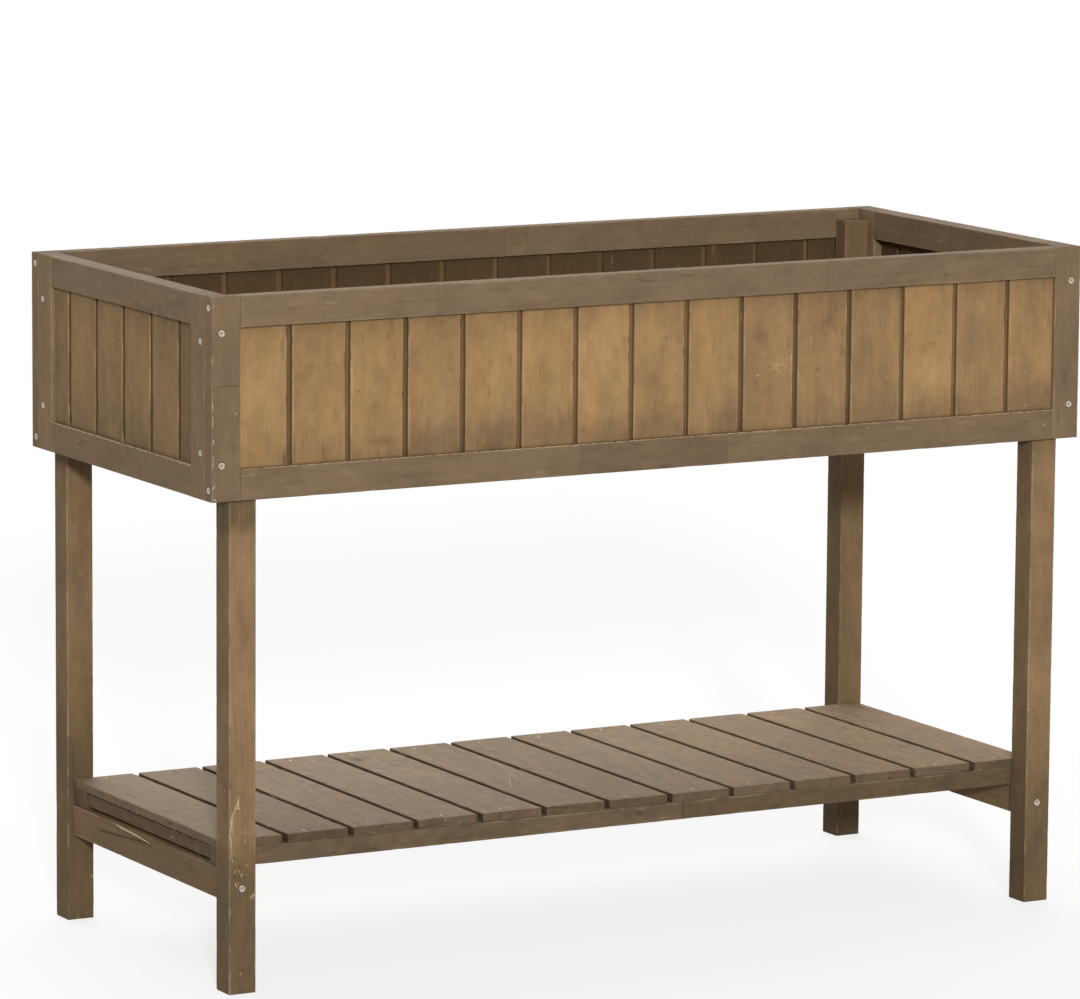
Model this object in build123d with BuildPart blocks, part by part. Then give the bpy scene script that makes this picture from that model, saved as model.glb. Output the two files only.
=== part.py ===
"""Raised planter box on four legs with a slatted shelf, in stained softwood.

Millimetres. X runs along the box, -Y is the front, Z is up, and the origin is
on the ground below the middle of the box.
"""

import os
from math import floor

from build123d import *

# Overall sizes
length = 1100.0
depth = 460.0
height = 760.0
box_height = 220.0

# Framed panels of the box
front_thickness = 18.0
side_thickness = 24.0
stile_width = 34.0
rail_width = 34.0
edge_radius = 1.5
groove_depth = 9.0
groove_play = 1.0

# Tongue-and-groove boards in the panels
board_thickness = 8.0
board_recess = 5.0
board_pitch = 70.0
board_gap = 6.0
board_edge_radius = 1.2
tongue_thickness = 2.6
tongue_length = 5.0
board_fit = 0.2

# Legs, shouldered where the front and back panels sit on them
leg_size = 32.0
leg_face_inset = 7.0
leg_top_drop = 12.0

# Floor of the box
ledger_size = 20.0
ledger_rise = 6.0
floor_thickness = 12.0
floor_gap = 5.0
floor_count = 11
floor_play = 1.5

# Shelf and the stretchers that carry it
stretcher_height = 34.0
stretcher_thickness = 22.0
stretcher_bottom = 99.0
shelf_end_inset = 7.0
shelf_play = 1.0
beam_height = 20.0
beam_depth = 30.0
beam_joint_place = 57.0
beam_joint_gap = 0.6
batten_width = 20.0
batten_height = 16.0
batten_inset = 3.0
slat_thickness = 10.0
slat_gap = 7.0
slat_count = 13
slat_edge_radius = 1.2

# Countersunk screws
shank_radius = 2.0
head_radius = 3.8
screw_fit = 0.15
tip_play = 1.0
countersink_angle = 90.0
corner_screw_length = 40.0
corner_screw_end = 39.0
leg_screw_length = 42.0
leg_screw_end = 50.0
frame_screw_length = 60.0
frame_screw_end = 12.0
stretcher_screw_length = 48.0
shelf_screw_length = 48.0
shelf_screw_clear = 6.0
ledger_screw_length = 32.0
ledger_screw_end = 90.0
ledger_screw_count = 4

# Places that follow from the sizes above
half_length = length / 2
half_depth = depth / 2
box_bottom = height - box_height
inner_half_length = half_length - side_thickness
inner_half_depth = half_depth - front_thickness
leg_x = inner_half_length - leg_size / 2
leg_outer_y = half_depth - leg_face_inset
leg_inner_y = leg_outer_y - leg_size
leg_y = (leg_outer_y + leg_inner_y) / 2
tongue_y = (inner_half_depth + leg_inner_y) / 2
leg_top = height - leg_top_drop
ledger_half_length = leg_x - leg_size / 2
ledger_bottom = box_bottom + ledger_rise
ledger_top = ledger_bottom + ledger_size
ledger_y = inner_half_depth - ledger_size / 2
stretcher_top = stretcher_bottom + stretcher_height
shelf_half_length = leg_x + leg_size / 2 - shelf_end_inset
shelf_half_depth = leg_inner_y - shelf_play
beam_top = stretcher_top + beam_height
beam_y = shelf_half_depth - beam_depth / 2
shelf_screw_y = leg_outer_y - stretcher_screw_length - shelf_screw_clear
SIDES = {"left": -1, "right": 1}
FACES = {"front": -1, "back": 1}
CORNERS = [(x_name, y_name) for y_name in FACES for x_name in SIDES]

os.makedirs("parts", exist_ok=True)


def save(piece, name):
    """Label a finished piece and write it to its own file."""
    piece.part.label = name
    export_step(piece.part, f"parts/{name}.step")


def end_heights(inset):
    """The two heights that lie an inset above the box's bottom and below its rim."""
    return (box_bottom + inset, height - inset)


def corner_screws(x_sign, y_sign):
    """Screws through a front or back stile into the edge of the side stile."""
    x = x_sign * (half_length - side_thickness / 2)
    z_dir = (0, y_sign, 0)
    return [Plane((x, y_sign * half_depth, z), z_dir=z_dir) for z in end_heights(corner_screw_end)]


def leg_screws(x_sign, y_sign):
    """Screws through a side stile into the tongue of the leg behind it."""
    z_dir = (x_sign, 0, 0)
    y = y_sign * tongue_y
    return [Plane((x_sign * half_length, y, z), z_dir=z_dir) for z in end_heights(leg_screw_end)]


def frame_screws(x_sign, y_sign):
    """Screws through the edge of a front or back stile into the ends of its rails."""
    z_dir = (x_sign, 0, 0)
    y = y_sign * (half_depth - front_thickness / 2)
    return [Plane((x_sign * half_length, y, z), z_dir=z_dir) for z in end_heights(frame_screw_end)]


def stretcher_screws(x_sign, y_sign):
    """The screw through a leg into the end of the stretcher."""
    z = (stretcher_bottom + stretcher_top) / 2
    return [Plane((x_sign * leg_x, y_sign * leg_outer_y, z), z_dir=(0, y_sign, 0))]


def shelf_screws(x_sign, y_sign):
    """The screw up through a stretcher, past the end of the leg's screw, into the beam above."""
    return [Plane((x_sign * leg_x, y_sign * shelf_screw_y, stretcher_bottom), z_dir=(0, 0, -1))]


def ledger_screws(y_sign):
    """Screws through a floor ledger into the bottom rail that carries it."""
    span = 2 * (ledger_half_length - ledger_screw_end)
    y = y_sign * (inner_half_depth - ledger_size)
    z = (ledger_bottom + ledger_top) / 2
    places = [span * (i / (ledger_screw_count - 1) - 0.5) for i in range(ledger_screw_count)]
    return [Plane((x, y, z), z_dir=(0, -y_sign, 0)) for x in places]


def drill_heads(planes, screw_length):
    """Clearance holes with a countersink for each screw whose head sits in this piece."""
    with Locations(*planes):
        CounterSinkHole(
            shank_radius + screw_fit,
            head_radius + screw_fit,
            depth=screw_length + tip_play,
            counter_sink_angle=countersink_angle,
        )


def drill_pilots(planes, screw_length):
    """Pilot holes for the screws that end in this piece."""
    with Locations(*planes):
        Hole(shank_radius + screw_fit, depth=screw_length + tip_play)


def screw_group(name, planes, screw_length):
    """Countersunk screws, each with its head flush with the plane it is driven from."""
    head_height = head_radius - shank_radius
    hang = (Align.CENTER, Align.CENTER, Align.MAX)
    with BuildPart() as group:
        with Locations(*planes):
            Cone(shank_radius, head_radius, head_height, align=hang)
            Cylinder(shank_radius, screw_length, align=hang)
    save(group, name)


def panel_plane(face):
    """The outer face of one panel: x to the right seen from outside, y up, z outwards."""
    if face in FACES:
        sign = FACES[face]
        return Plane((0, sign * half_depth, box_bottom), x_dir=(-sign, 0, 0), z_dir=(0, sign, 0))
    sign = SIDES[face]
    return Plane((sign * half_length, 0, box_bottom), x_dir=(0, sign, 0), z_dir=(sign, 0, 0))


def ease_face(piece, plane, run):
    """Round the long edges of a stile or rail on the panel's outer face."""
    outward = Axis(plane.origin, plane.z_dir)
    fillet(piece.edges().filter_by(run).group_by(outward)[-1], radius=edge_radius)


def cut_groove(plane, centre, across, along):
    """Cut the groove that houses the boards into a stile or a rail."""
    with BuildSketch(plane.offset(board_fit - board_recess)) as groove:
        with Locations(centre):
            Rectangle(across, along)
    extrude(groove.sketch, amount=-(board_thickness + 2 * board_fit), mode=Mode.SUBTRACT)


def make_stile(face, plane, hand, width, thickness):
    """A full-height upright at one end of a panel, grooved on its inner edge."""
    sign = SIDES[hand]
    centre_x = sign * (width - stile_width) / 2
    groove_x = sign * (width / 2 - stile_width + groove_depth / 2)
    with BuildPart() as stile:
        with BuildSketch(plane):
            with Locations((centre_x, box_height / 2)):
                Rectangle(stile_width, box_height)
        extrude(amount=-thickness)
        ease_face(stile, plane, Axis.Z)
        cut_groove(plane, (groove_x, box_height / 2), groove_depth, box_height)
        if face in FACES:
            x_sign = round(sign * plane.x_dir.X)
            drill_heads(corner_screws(x_sign, FACES[face]), corner_screw_length)
            drill_heads(frame_screws(x_sign, FACES[face]), frame_screw_length)
        else:
            y_sign = round(sign * plane.x_dir.Y)
            drill_pilots(corner_screws(SIDES[face], y_sign), corner_screw_length)
            drill_heads(leg_screws(SIDES[face], y_sign), leg_screw_length)
    save(stile, f"{face}_{hand}_stile")


def make_rail(face, plane, level, width, thickness):
    """A rail between the stiles, grooved for the boards, with a stub tenon at each end."""
    bottom = level == "bottom"
    opening = width - 2 * stile_width
    centre_y = rail_width / 2 if bottom else box_height - rail_width / 2
    groove_y = rail_width - groove_depth / 2 if bottom else box_height - rail_width + groove_depth / 2
    tenon_y = (rail_width - groove_depth) / 2 if bottom else box_height - (rail_width - groove_depth) / 2
    with BuildPart() as rail:
        with BuildSketch(plane):
            with Locations((0, centre_y)):
                Rectangle(opening, rail_width)
        extrude(amount=-thickness)
        ease_face(rail, plane, Axis(plane.origin, plane.x_dir))
        cut_groove(plane, (0, groove_y), opening, groove_depth)
        with BuildSketch(plane.offset(-board_recess)):
            with Locations((0, tenon_y)):
                Rectangle(opening + 2 * (groove_depth - groove_play), rail_width - groove_depth)
        extrude(amount=-board_thickness)
        if face in FACES:
            for x_sign in SIDES.values():
                drill_pilots(frame_screws(x_sign, FACES[face]), frame_screw_length)
            if bottom:
                drill_pilots(ledger_screws(FACES[face]), ledger_screw_length)
    save(rail, f"{face}_{level}_rail")


def make_boards(face, plane, width):
    """Upright boards side by side, each with its tongue in the groove of the next.

    The joints are centred on the panel, and two narrower boards fill its ends.
    """
    opening = width - 2 * stile_width
    housing = groove_depth - groove_play
    full_boards = floor(opening / board_pitch) - 1
    joints = [(i - full_boards / 2) * board_pitch for i in range(full_boards + 1)]
    starts = [-opening / 2 - housing] + [joint + board_gap / 2 for joint in joints]
    ends = [joint - board_gap / 2 for joint in joints] + [opening / 2 + housing]
    foot = rail_width - groove_depth
    board_length = box_height - 2 * rail_width + groove_depth + housing
    section = Plane(
        plane.from_local_coords((0, foot, -board_recess)),
        x_dir=plane.x_dir,
        z_dir=(0, 0, 1),
    )
    middle = board_thickness / 2
    slot = tongue_thickness + 2 * board_fit
    with BuildPart() as boards:
        for start, end in zip(starts, ends):
            with BuildSketch(section) as profile:
                with Locations(((start + end) / 2, middle)):
                    Rectangle(end - start, board_thickness)
                fillet(profile.vertices().group_by(Axis.Y)[0], radius=board_edge_radius)
                if end < opening / 2:
                    with Locations((end, middle)):
                        Rectangle(
                            board_gap + tongue_length,
                            tongue_thickness,
                            align=(Align.MIN, Align.CENTER),
                        )
                if start > -opening / 2:
                    with Locations((start, middle)):
                        Rectangle(
                            tongue_length + groove_play,
                            slot,
                            align=(Align.MIN, Align.CENTER),
                            mode=Mode.SUBTRACT,
                        )
            extrude(amount=board_length)
    save(boards, f"{face}_boards")


def make_panel(face):
    """One framed side of the box: two stiles, two rails and the boards between them."""
    plane = panel_plane(face)
    width = length if face in FACES else 2 * inner_half_depth
    thickness = front_thickness if face in FACES else side_thickness
    for hand in SIDES:
        make_stile(face, plane, hand, width, thickness)
    for level in ("top", "bottom"):
        make_rail(face, plane, level, width, thickness)
    make_boards(face, plane, width)


def make_leg(x_name, y_name):
    """A square leg with a shoulder that carries the panel and a tongue inside the corner."""
    x_sign = SIDES[x_name]
    y_sign = FACES[y_name]
    with BuildPart() as leg:
        with BuildSketch():
            with Locations((x_sign * leg_x, y_sign * leg_y)):
                Rectangle(leg_size, leg_size)
        extrude(amount=leg_top)
        fillet(leg.edges().filter_by(Axis.Z), radius=edge_radius)
        with BuildSketch(Plane.XY.offset(box_bottom)):
            with Locations((x_sign * leg_x, y_sign * (inner_half_depth + leg_outer_y) / 2)):
                Rectangle(leg_size, leg_outer_y - inner_half_depth)
        extrude(amount=leg_top - box_bottom, mode=Mode.SUBTRACT)
        drill_pilots(leg_screws(x_sign, y_sign), leg_screw_length)
        drill_heads(stretcher_screws(x_sign, y_sign), stretcher_screw_length)
    save(leg, f"{y_name}_{x_name}_leg")


def make_ledger(y_name):
    """A batten on the inside of a bottom rail, between the legs, that carries the floor."""
    y_sign = FACES[y_name]
    with BuildPart() as ledger:
        with BuildSketch(Plane.XY.offset(ledger_bottom)):
            with Locations((0, y_sign * ledger_y)):
                Rectangle(2 * ledger_half_length, ledger_size)
        extrude(amount=ledger_size)
        drill_heads(ledger_screws(y_sign), ledger_screw_length)
    save(ledger, f"{y_name}_floor_ledger")


def make_floor():
    """Boards from front to back on the ledgers, the end ones notched round the legs."""
    span = 2 * (inner_half_length - floor_play)
    pitch = (span + floor_gap) / floor_count
    board_width = pitch - floor_gap
    board_depth = 2 * (inner_half_depth - floor_play)
    notch_depth = inner_half_depth - leg_inner_y + floor_play
    places = [(i - (floor_count - 1) / 2) * pitch for i in range(floor_count)]
    with BuildPart() as middle_boards:
        with BuildSketch(Plane.XY.offset(ledger_top)):
            with Locations(*[(x, 0) for x in places[1:-1]]):
                Rectangle(board_width, board_depth)
        extrude(amount=floor_thickness)
    save(middle_boards, "floor_boards")
    for x_name, x_sign in SIDES.items():
        with BuildPart() as end_board:
            with BuildSketch(Plane.XY.offset(ledger_top)):
                with Locations((x_sign * places[-1], 0)):
                    Rectangle(board_width, board_depth)
                with Locations(*[(x_sign * leg_x, y * inner_half_depth) for y in FACES.values()]):
                    Rectangle(leg_size + 2 * floor_play, 2 * notch_depth, mode=Mode.SUBTRACT)
            extrude(amount=floor_thickness)
        save(end_board, f"floor_end_board_{x_name}")


def make_stretcher(x_name):
    """The rail between the front and back leg of one end, under the shelf."""
    x_sign = SIDES[x_name]
    with BuildPart() as stretcher:
        with BuildSketch(Plane.XY.offset(stretcher_bottom)):
            with Locations((x_sign * leg_x, 0)):
                Rectangle(stretcher_thickness, 2 * leg_inner_y)
        extrude(amount=stretcher_height)
        fillet(stretcher.edges().filter_by(Axis.Y), radius=edge_radius)
        for y_sign in FACES.values():
            drill_pilots(stretcher_screws(x_sign, y_sign), stretcher_screw_length)
            drill_heads(shelf_screws(x_sign, y_sign), shelf_screw_length)
    save(stretcher, f"{x_name}_stretcher")


def make_beam(x_name, y_name):
    """One of the two lengths of a shelf beam, butted together under a slat."""
    x_sign = SIDES[x_name]
    y_sign = FACES[y_name]
    joint_x = beam_joint_place + x_sign * beam_joint_gap / 2
    outer_x = x_sign * shelf_half_length
    with BuildPart() as beam:
        with BuildSketch(Plane.XY.offset(stretcher_top)):
            with Locations(((joint_x + outer_x) / 2, y_sign * beam_y)):
                Rectangle(abs(outer_x - joint_x), beam_depth)
        extrude(amount=beam_height)
        lower = beam.edges().filter_by(Axis.X).group_by(Axis.Z)[0]
        fillet(lower, radius=edge_radius)
        drill_pilots(shelf_screws(x_sign, y_sign), shelf_screw_length)
    save(beam, f"shelf_{y_name}_beam_{x_name}")


def make_batten(x_name):
    """The short batten between the beams that carries the edge of an end slat."""
    x = SIDES[x_name] * (shelf_half_length - batten_inset - batten_width / 2)
    with BuildPart() as batten:
        with BuildSketch(Plane.XY.offset(beam_top - batten_height)):
            with Locations((x, 0)):
                Rectangle(batten_width, 2 * (shelf_half_depth - beam_depth))
        extrude(amount=batten_height)
    save(batten, f"shelf_end_batten_{x_name}")


def make_slats():
    """Shelf slats from front to back, side by side on the beams."""
    pitch = (2 * shelf_half_length + slat_gap) / slat_count
    slat_width = pitch - slat_gap
    for i in range(slat_count):
        x = (i - (slat_count - 1) / 2) * pitch
        with BuildPart() as slat:
            with BuildSketch(Plane.XY.offset(beam_top)):
                with Locations((x, 0)):
                    Rectangle(slat_width, 2 * shelf_half_depth)
            extrude(amount=slat_thickness)
            top = slat.faces().sort_by(Axis.Z)[-1]
            fillet(top.edges().filter_by(Axis.Y), radius=slat_edge_radius)
        save(slat, f"shelf_slat_{i + 1:02d}")


def at_corners(planes_of):
    """The screw places that a function gives for all four corners."""
    return [p for x, y in CORNERS for p in planes_of(SIDES[x], FACES[y])]


for face in (*FACES, *SIDES):
    make_panel(face)
for x_name, y_name in CORNERS:
    make_leg(x_name, y_name)
    make_beam(x_name, y_name)
for y_name in FACES:
    make_ledger(y_name)
make_floor()
for x_name in SIDES:
    make_stretcher(x_name)
    make_batten(x_name)
make_slats()

screw_group("corner_screws", at_corners(corner_screws), corner_screw_length)
screw_group("leg_screws", at_corners(leg_screws), leg_screw_length)
screw_group("frame_screws", at_corners(frame_screws), frame_screw_length)
screw_group("stretcher_screws", at_corners(stretcher_screws), stretcher_screw_length)
screw_group("shelf_screws", at_corners(shelf_screws), shelf_screw_length)
ledger_places = [p for y in FACES.values() for p in ledger_screws(y)]
screw_group("ledger_screws", ledger_places, ledger_screw_length)
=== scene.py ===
"""Looks of a raised planter box: worn stained planks, boards, screws, light and camera."""

import math

import bpy
import numpy as np
from mathutils import Matrix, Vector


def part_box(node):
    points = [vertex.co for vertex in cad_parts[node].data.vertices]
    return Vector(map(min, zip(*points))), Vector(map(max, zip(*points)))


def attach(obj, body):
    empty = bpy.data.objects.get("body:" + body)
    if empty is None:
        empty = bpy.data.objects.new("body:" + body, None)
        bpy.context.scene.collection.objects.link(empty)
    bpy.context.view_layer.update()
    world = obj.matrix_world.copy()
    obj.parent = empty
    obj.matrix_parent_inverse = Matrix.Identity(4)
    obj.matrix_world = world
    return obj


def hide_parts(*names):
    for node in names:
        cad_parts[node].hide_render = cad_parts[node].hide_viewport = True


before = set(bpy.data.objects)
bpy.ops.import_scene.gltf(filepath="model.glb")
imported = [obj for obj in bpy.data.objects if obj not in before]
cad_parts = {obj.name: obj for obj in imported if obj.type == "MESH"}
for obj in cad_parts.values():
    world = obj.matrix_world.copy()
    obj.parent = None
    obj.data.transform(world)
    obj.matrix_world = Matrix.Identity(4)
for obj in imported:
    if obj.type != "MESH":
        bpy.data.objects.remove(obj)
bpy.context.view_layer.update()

MM = 0.001
SIDES = {"left": -1, "right": 1}
FACES = {"front": -1, "back": 1}
SIGNS = (-1, 1)

# Places repeated from the construction, in metres
HALF_LENGTH = 0.550
HALF_DEPTH = 0.230
RIM = 0.760
BOX_BOTTOM = 0.540
FRONT_THICKNESS = 0.018
SIDE_THICKNESS = 0.024
STRIP_WIDTH = 0.034
INNER_HALF_DEPTH = HALF_DEPTH - FRONT_THICKNESS
INNER_HALF_LENGTH = HALF_LENGTH - SIDE_THICKNESS
OPENING_LOW = BOX_BOTTOM + STRIP_WIDTH
OPENING_HIGH = RIM - STRIP_WIDTH
LEG_SIZE = 0.032
LEG_X = 0.510
LEG_FACE_Y = 0.223
LEG_INNER_Y = 0.191
SLAT_COUNT = 13
FLOOR_COUNT = 11
FLOOR_GAP = 0.005
FLOOR_PLAY = 0.0015

# Where the random draws of each kind of piece start, and how far apart those of two panels are
SEEDS = {
    "stile": 100, "rail": 150, "board": 200, "leg": 300, "shelf_side": 400, "slat": 440, "ledger": 500,
    "floor_board": 520, "floor_end": 540, "screw": 600, "nail": 650, "sliver": 660, "burr": 670,
}
PANEL_SEEDS = 10

# How finely planks are drawn, and how their arrises are worn
ARC_STEPS = 3
SHARP_RADIUS = 0.3 * MM
EDGE_LINES = np.array([0.5, 2.0, 5.0, 9.0]) * MM
EDGE_LINE_SHARE = 0.9
EDGE_REACH = 9.0 * MM
LINE_CLEAR = 0.1 * MM
CHIP_REACH = 2.5 * MM
CHIP_SPACING = 7.0 * MM
CHIP_LEVEL = 0.72
END_RADIUS = 0.5 * MM
END_CLEAR = 1.2 * END_RADIUS
CAP_INSET = 0.65 * MM
RING_STEP = 7.0 * MM
SEAM_WIDTH = 0.35 * MM
SEAM_DEPTH = 0.30 * MM
SEAM_CLEAR = 1.5 * SEAM_WIDTH
SEAM_RINGS = SEAM_WIDTH * np.array([-1, -1e-4, 1e-4, 1])
REBATE_EDGE = 0.001 * MM
FAR_OUT = 1.0
SPOT_RINGS = np.linspace(-1.6, 1.6, 15)
SPOT_LINES = np.linspace(-1.6, 1.6, 13)
PLANK_RADIUS = 0.9 * MM
HEAVY_RADIUS = 1.0 * MM
SLAT_RADIUS = 0.8 * MM
PLANK_CHIP = 0.3 * MM
SLAT_CHIP = 0.6 * MM
SIDE_WAYS = [(1, 0), (0, 1), (-1, 0), (0, -1)]
EVEN = (0, 0, 0, 0)
NEARLY_ONE = 0.99

# How far grain, tone and greyness may differ between two lengths of timber
GRAIN_SHIFT = ((0, -0.06, -0.06), (6, 0.06, 0.06))
TONE_SPREAD = 0.06
GREY_SPREAD = 0.08
CUT_EDGE = 0.3

# Boards of the panels: section, drawn lines, painted light and shade in joints, painted shade by rails, and
# tone towards the ends
BOARD_RECESS = 0.005
BOARD_THICKNESS = 0.008
BOARD_PITCH = 0.070
BOARD_GAP = 0.006
TONGUE_THICKNESS = 0.0026
TONGUE_LENGTH = 0.005
TONGUE_PLAY = 0.0002
GROOVE_PLAY = 1.0 * MM
BOARD_HOUSING = 0.008
BOARD_LOW = 0.565
BOARD_HIGH = 0.734
BOARD_FACE_RADIUS = 1.45 * MM
BOARD_HIDDEN_RADIUS = 0.2 * MM
BOARD_CHIP = 0.8 * MM
BOARD_END_INSET = 0.15 * MM
BOARD_FACE_DEPTH = 0.6 * MM
BOARD_WALL = (0.25 * MM, 1.5 * MM)
BOARD_LEFT_EDGE = (0.5 * MM, 1.0 * MM)
TONGUE_NEAR = (0.4 * MM, 2.2 * MM)
TONGUE_FAR = (4.4 * MM, 5.8 * MM)
MARK_FAN = np.array([-1.6, -0.95, -0.45, 0, 0.45, 0.95, 1.6])
RAIL_LINES = np.array([0, 1, 3, 6, 10, 15]) * MM
RAIL_SHADE_LOW = 2 * MM
RAIL_SHADE_HIGH = 2.5 * MM
RAIL_SHADE = 0.6
JOINT_SHADE = 0.92
JOINT_LIGHT = 0.05
TONGUE_LIGHT = (0.25, 0.50)
LAST_BOARD_SHADE = 0.30
FOOT_REACH = 50 * MM
# Painted shadow of the top rail: how far down each board it reaches
RAIL_SHADOW_REACH = 42 * MM
HEAD_WEAR_REACH = 14 * MM
MIDDLE_TONE = 0.18
# Painted shadow of the top rail: how much it darkens the tone
RAIL_SHADOW_TONE = 0.42
FOOT_TONE = 0.22
FOOT_GREY = (0.1, 0.6)
BOARD_FLAKES = (0.0, 0.15)
BOARD_END_WEAR = (0.0, 0.3)
BOARD_TONES = (0.4, 0.8)
BOARD_GREYS = (0.0, 0.3)
SIDE_BOARD_GREYS = (0.6, 0.95)
QUARTER_TURNS = {"front": 0, "right": 1, "back": 2, "left": 3}

# Stiles and rails: tones, greyness, glued seams, and a painted highlight along the top arris of a bottom rail
STILE_TONES = (0.4, 0.6)
RAIL_TONES = (0.3, 0.7)
FRAME_GREYS = (0.0, 0.4)
# Painted light: how much lighter the stiles of the side panels are toned
SIDE_FRAME_LIGHT = 0.20
STILE_SEAMS = {"front_left_stile": (0.664,)}
RAIL_LENGTHS = {
    "front_top_rail": ((-0.277, 0.215), (0.78, 0.60, 0.55)),
    "front_bottom_rail": ((-0.102, 0.086), (0.58, 0.12, 0.56)),
}
SEAM_FROM_END = 0.1
HIGHLIGHT_LENGTH = 1.5
HIGHLIGHT_WIDTH = 2.0 * MM
HIGHLIGHT_HEIGHT = 1.0 * MM
HIGHLIGHT_SHARE = 1.35

# Screws, the seats that their heads are sunk in, and their places
HEAD_RADIUS = 3.8 * MM
HEAD_SUNK = 0.35 * MM
HEAD_ROWS = np.array([0, 0.4, 0.8, 1.2, 1.6, 2.0, 2.4, 2.9, 3.4, 3.7, 3.8]) * MM
HEAD_DROPS = np.array([0, 0, 0, 0, 0, 0, 0, 0, 0, -0.04, -0.16]) * MM
HEAD_TOP = -0.3 * MM
SHANK_RADIUS = 2.0 * MM
SHANK_SHARE = 0.85
SEAT_DEPTH = 2.2 * MM
SEAT_FLOOR = 3.9 * MM
SEAT_MOUTH = 4.4 * MM
SEAT_REACH = 5.4 * MM
SEAT_FAN = np.linspace(-SEAT_REACH, SEAT_REACH, 19)
SEAT_SLACK = 0.2 * MM
SEAT_SHADE = 0.7
RECESS_DEPTH = 1.3 * MM
RECESS_HALF_WIDTH = 0.55 * MM
RECESS_ARM = 2.1 * MM
RECESS_SOFT = 0.35 * MM
TURN_STEPS = 32
CORNER_SCREW_END = 0.039
LEG_SCREW_END = 0.050
FRAME_SCREW_END = 0.012
STRETCHER_SCREW_Z = 0.116
SHELF_SCREW_PLACE = (0.169, 0.099)
LEDGER_SCREW_PLACE = (0.192, 0.556)
LEDGER_SCREW_X = np.linspace(-0.404, 0.404, 4)
SCREW_LENGTHS = {
    "corner_screws": 0.040,
    "leg_screws": 0.042,
    "frame_screws": 0.060,
    "stretcher_screws": 0.048,
    "shelf_screws": 0.048,
    "ledger_screws": 0.032,
}

# Nails through the slats: radius and height of each row of the turned shape, and their places
NAIL_ROWS = np.array([0, 0.8, 1.3, 1.55, 1.55, 0.8, 0.8, 0]) * MM
NAIL_HEIGHTS = np.array([0.30, 0.26, 0.14, -0.05, -0.40, -0.60, -6.0, -6.5]) * MM
NAIL_STEPS = 12
NAIL_Y = 0.1755
NAIL_X_STRAY = (-14, 2)
NAIL_Y_STRAY = (-3, 3)


def draws(kind, step=0):
    """The random draws of one piece, the same in every run."""
    return np.random.default_rng(SEEDS[kind] + step)


def smooth(low, high, value):
    """Smooth step: 0 below low, 1 above high, and 3t^2 - 2t^3 between them."""
    t = np.clip((value - low) / (high - low), 0, 1)
    return t * t * (3 - 2 * t)


def drift(rng, along, spacing):
    """Slow random curve from 0 to 1: random heights at even knots, joined by straight runs."""
    knots = np.arange(along.min() - spacing, along.max() + 2 * spacing, spacing)
    return np.interp(along, knots, rng.random(len(knots)))


def box_heights(inset):
    """The two heights that lie an inset above the box's bottom and below its rim."""
    return BOX_BOTTOM + inset, RIM - inset


def screw_places():
    """Head centre and outward direction of every screw, by the group that it belongs to."""
    corners = [(x, y) for y in SIGNS for x in SIGNS]
    corner_x = HALF_LENGTH - SIDE_THICKNESS / 2
    frame_y = HALF_DEPTH - FRONT_THICKNESS / 2
    tongue_y = (INNER_HALF_DEPTH + LEG_INNER_Y) / 2
    shelf_y, shelf_z = SHELF_SCREW_PLACE
    ledger_y, ledger_z = LEDGER_SCREW_PLACE
    corner_z, leg_z, frame_z = map(box_heights, (CORNER_SCREW_END, LEG_SCREW_END, FRAME_SCREW_END))
    places = {
        "corner_screws": [
            ((x * corner_x, y * HALF_DEPTH, z), (0, y, 0)) for x, y in corners for z in corner_z
        ],
        "leg_screws": [((x * HALF_LENGTH, y * tongue_y, z), (x, 0, 0)) for x, y in corners for z in leg_z],
        "frame_screws": [((x * HALF_LENGTH, y * frame_y, z), (x, 0, 0)) for x, y in corners for z in frame_z],
        "stretcher_screws": [((x * LEG_X, y * LEG_FACE_Y, STRETCHER_SCREW_Z), (0, y, 0)) for x, y in corners],
        "shelf_screws": [((x * LEG_X, y * shelf_y, shelf_z), (0, 0, -1)) for x, y in corners],
        "ledger_screws": [((x, y * ledger_y, ledger_z), (0, -y, 0)) for y in SIGNS for x in LEDGER_SCREW_X],
    }
    return {group: [(np.array(p), np.array(n)) for p, n in found] for group, found in places.items()}


SCREWS = screw_places()


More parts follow.
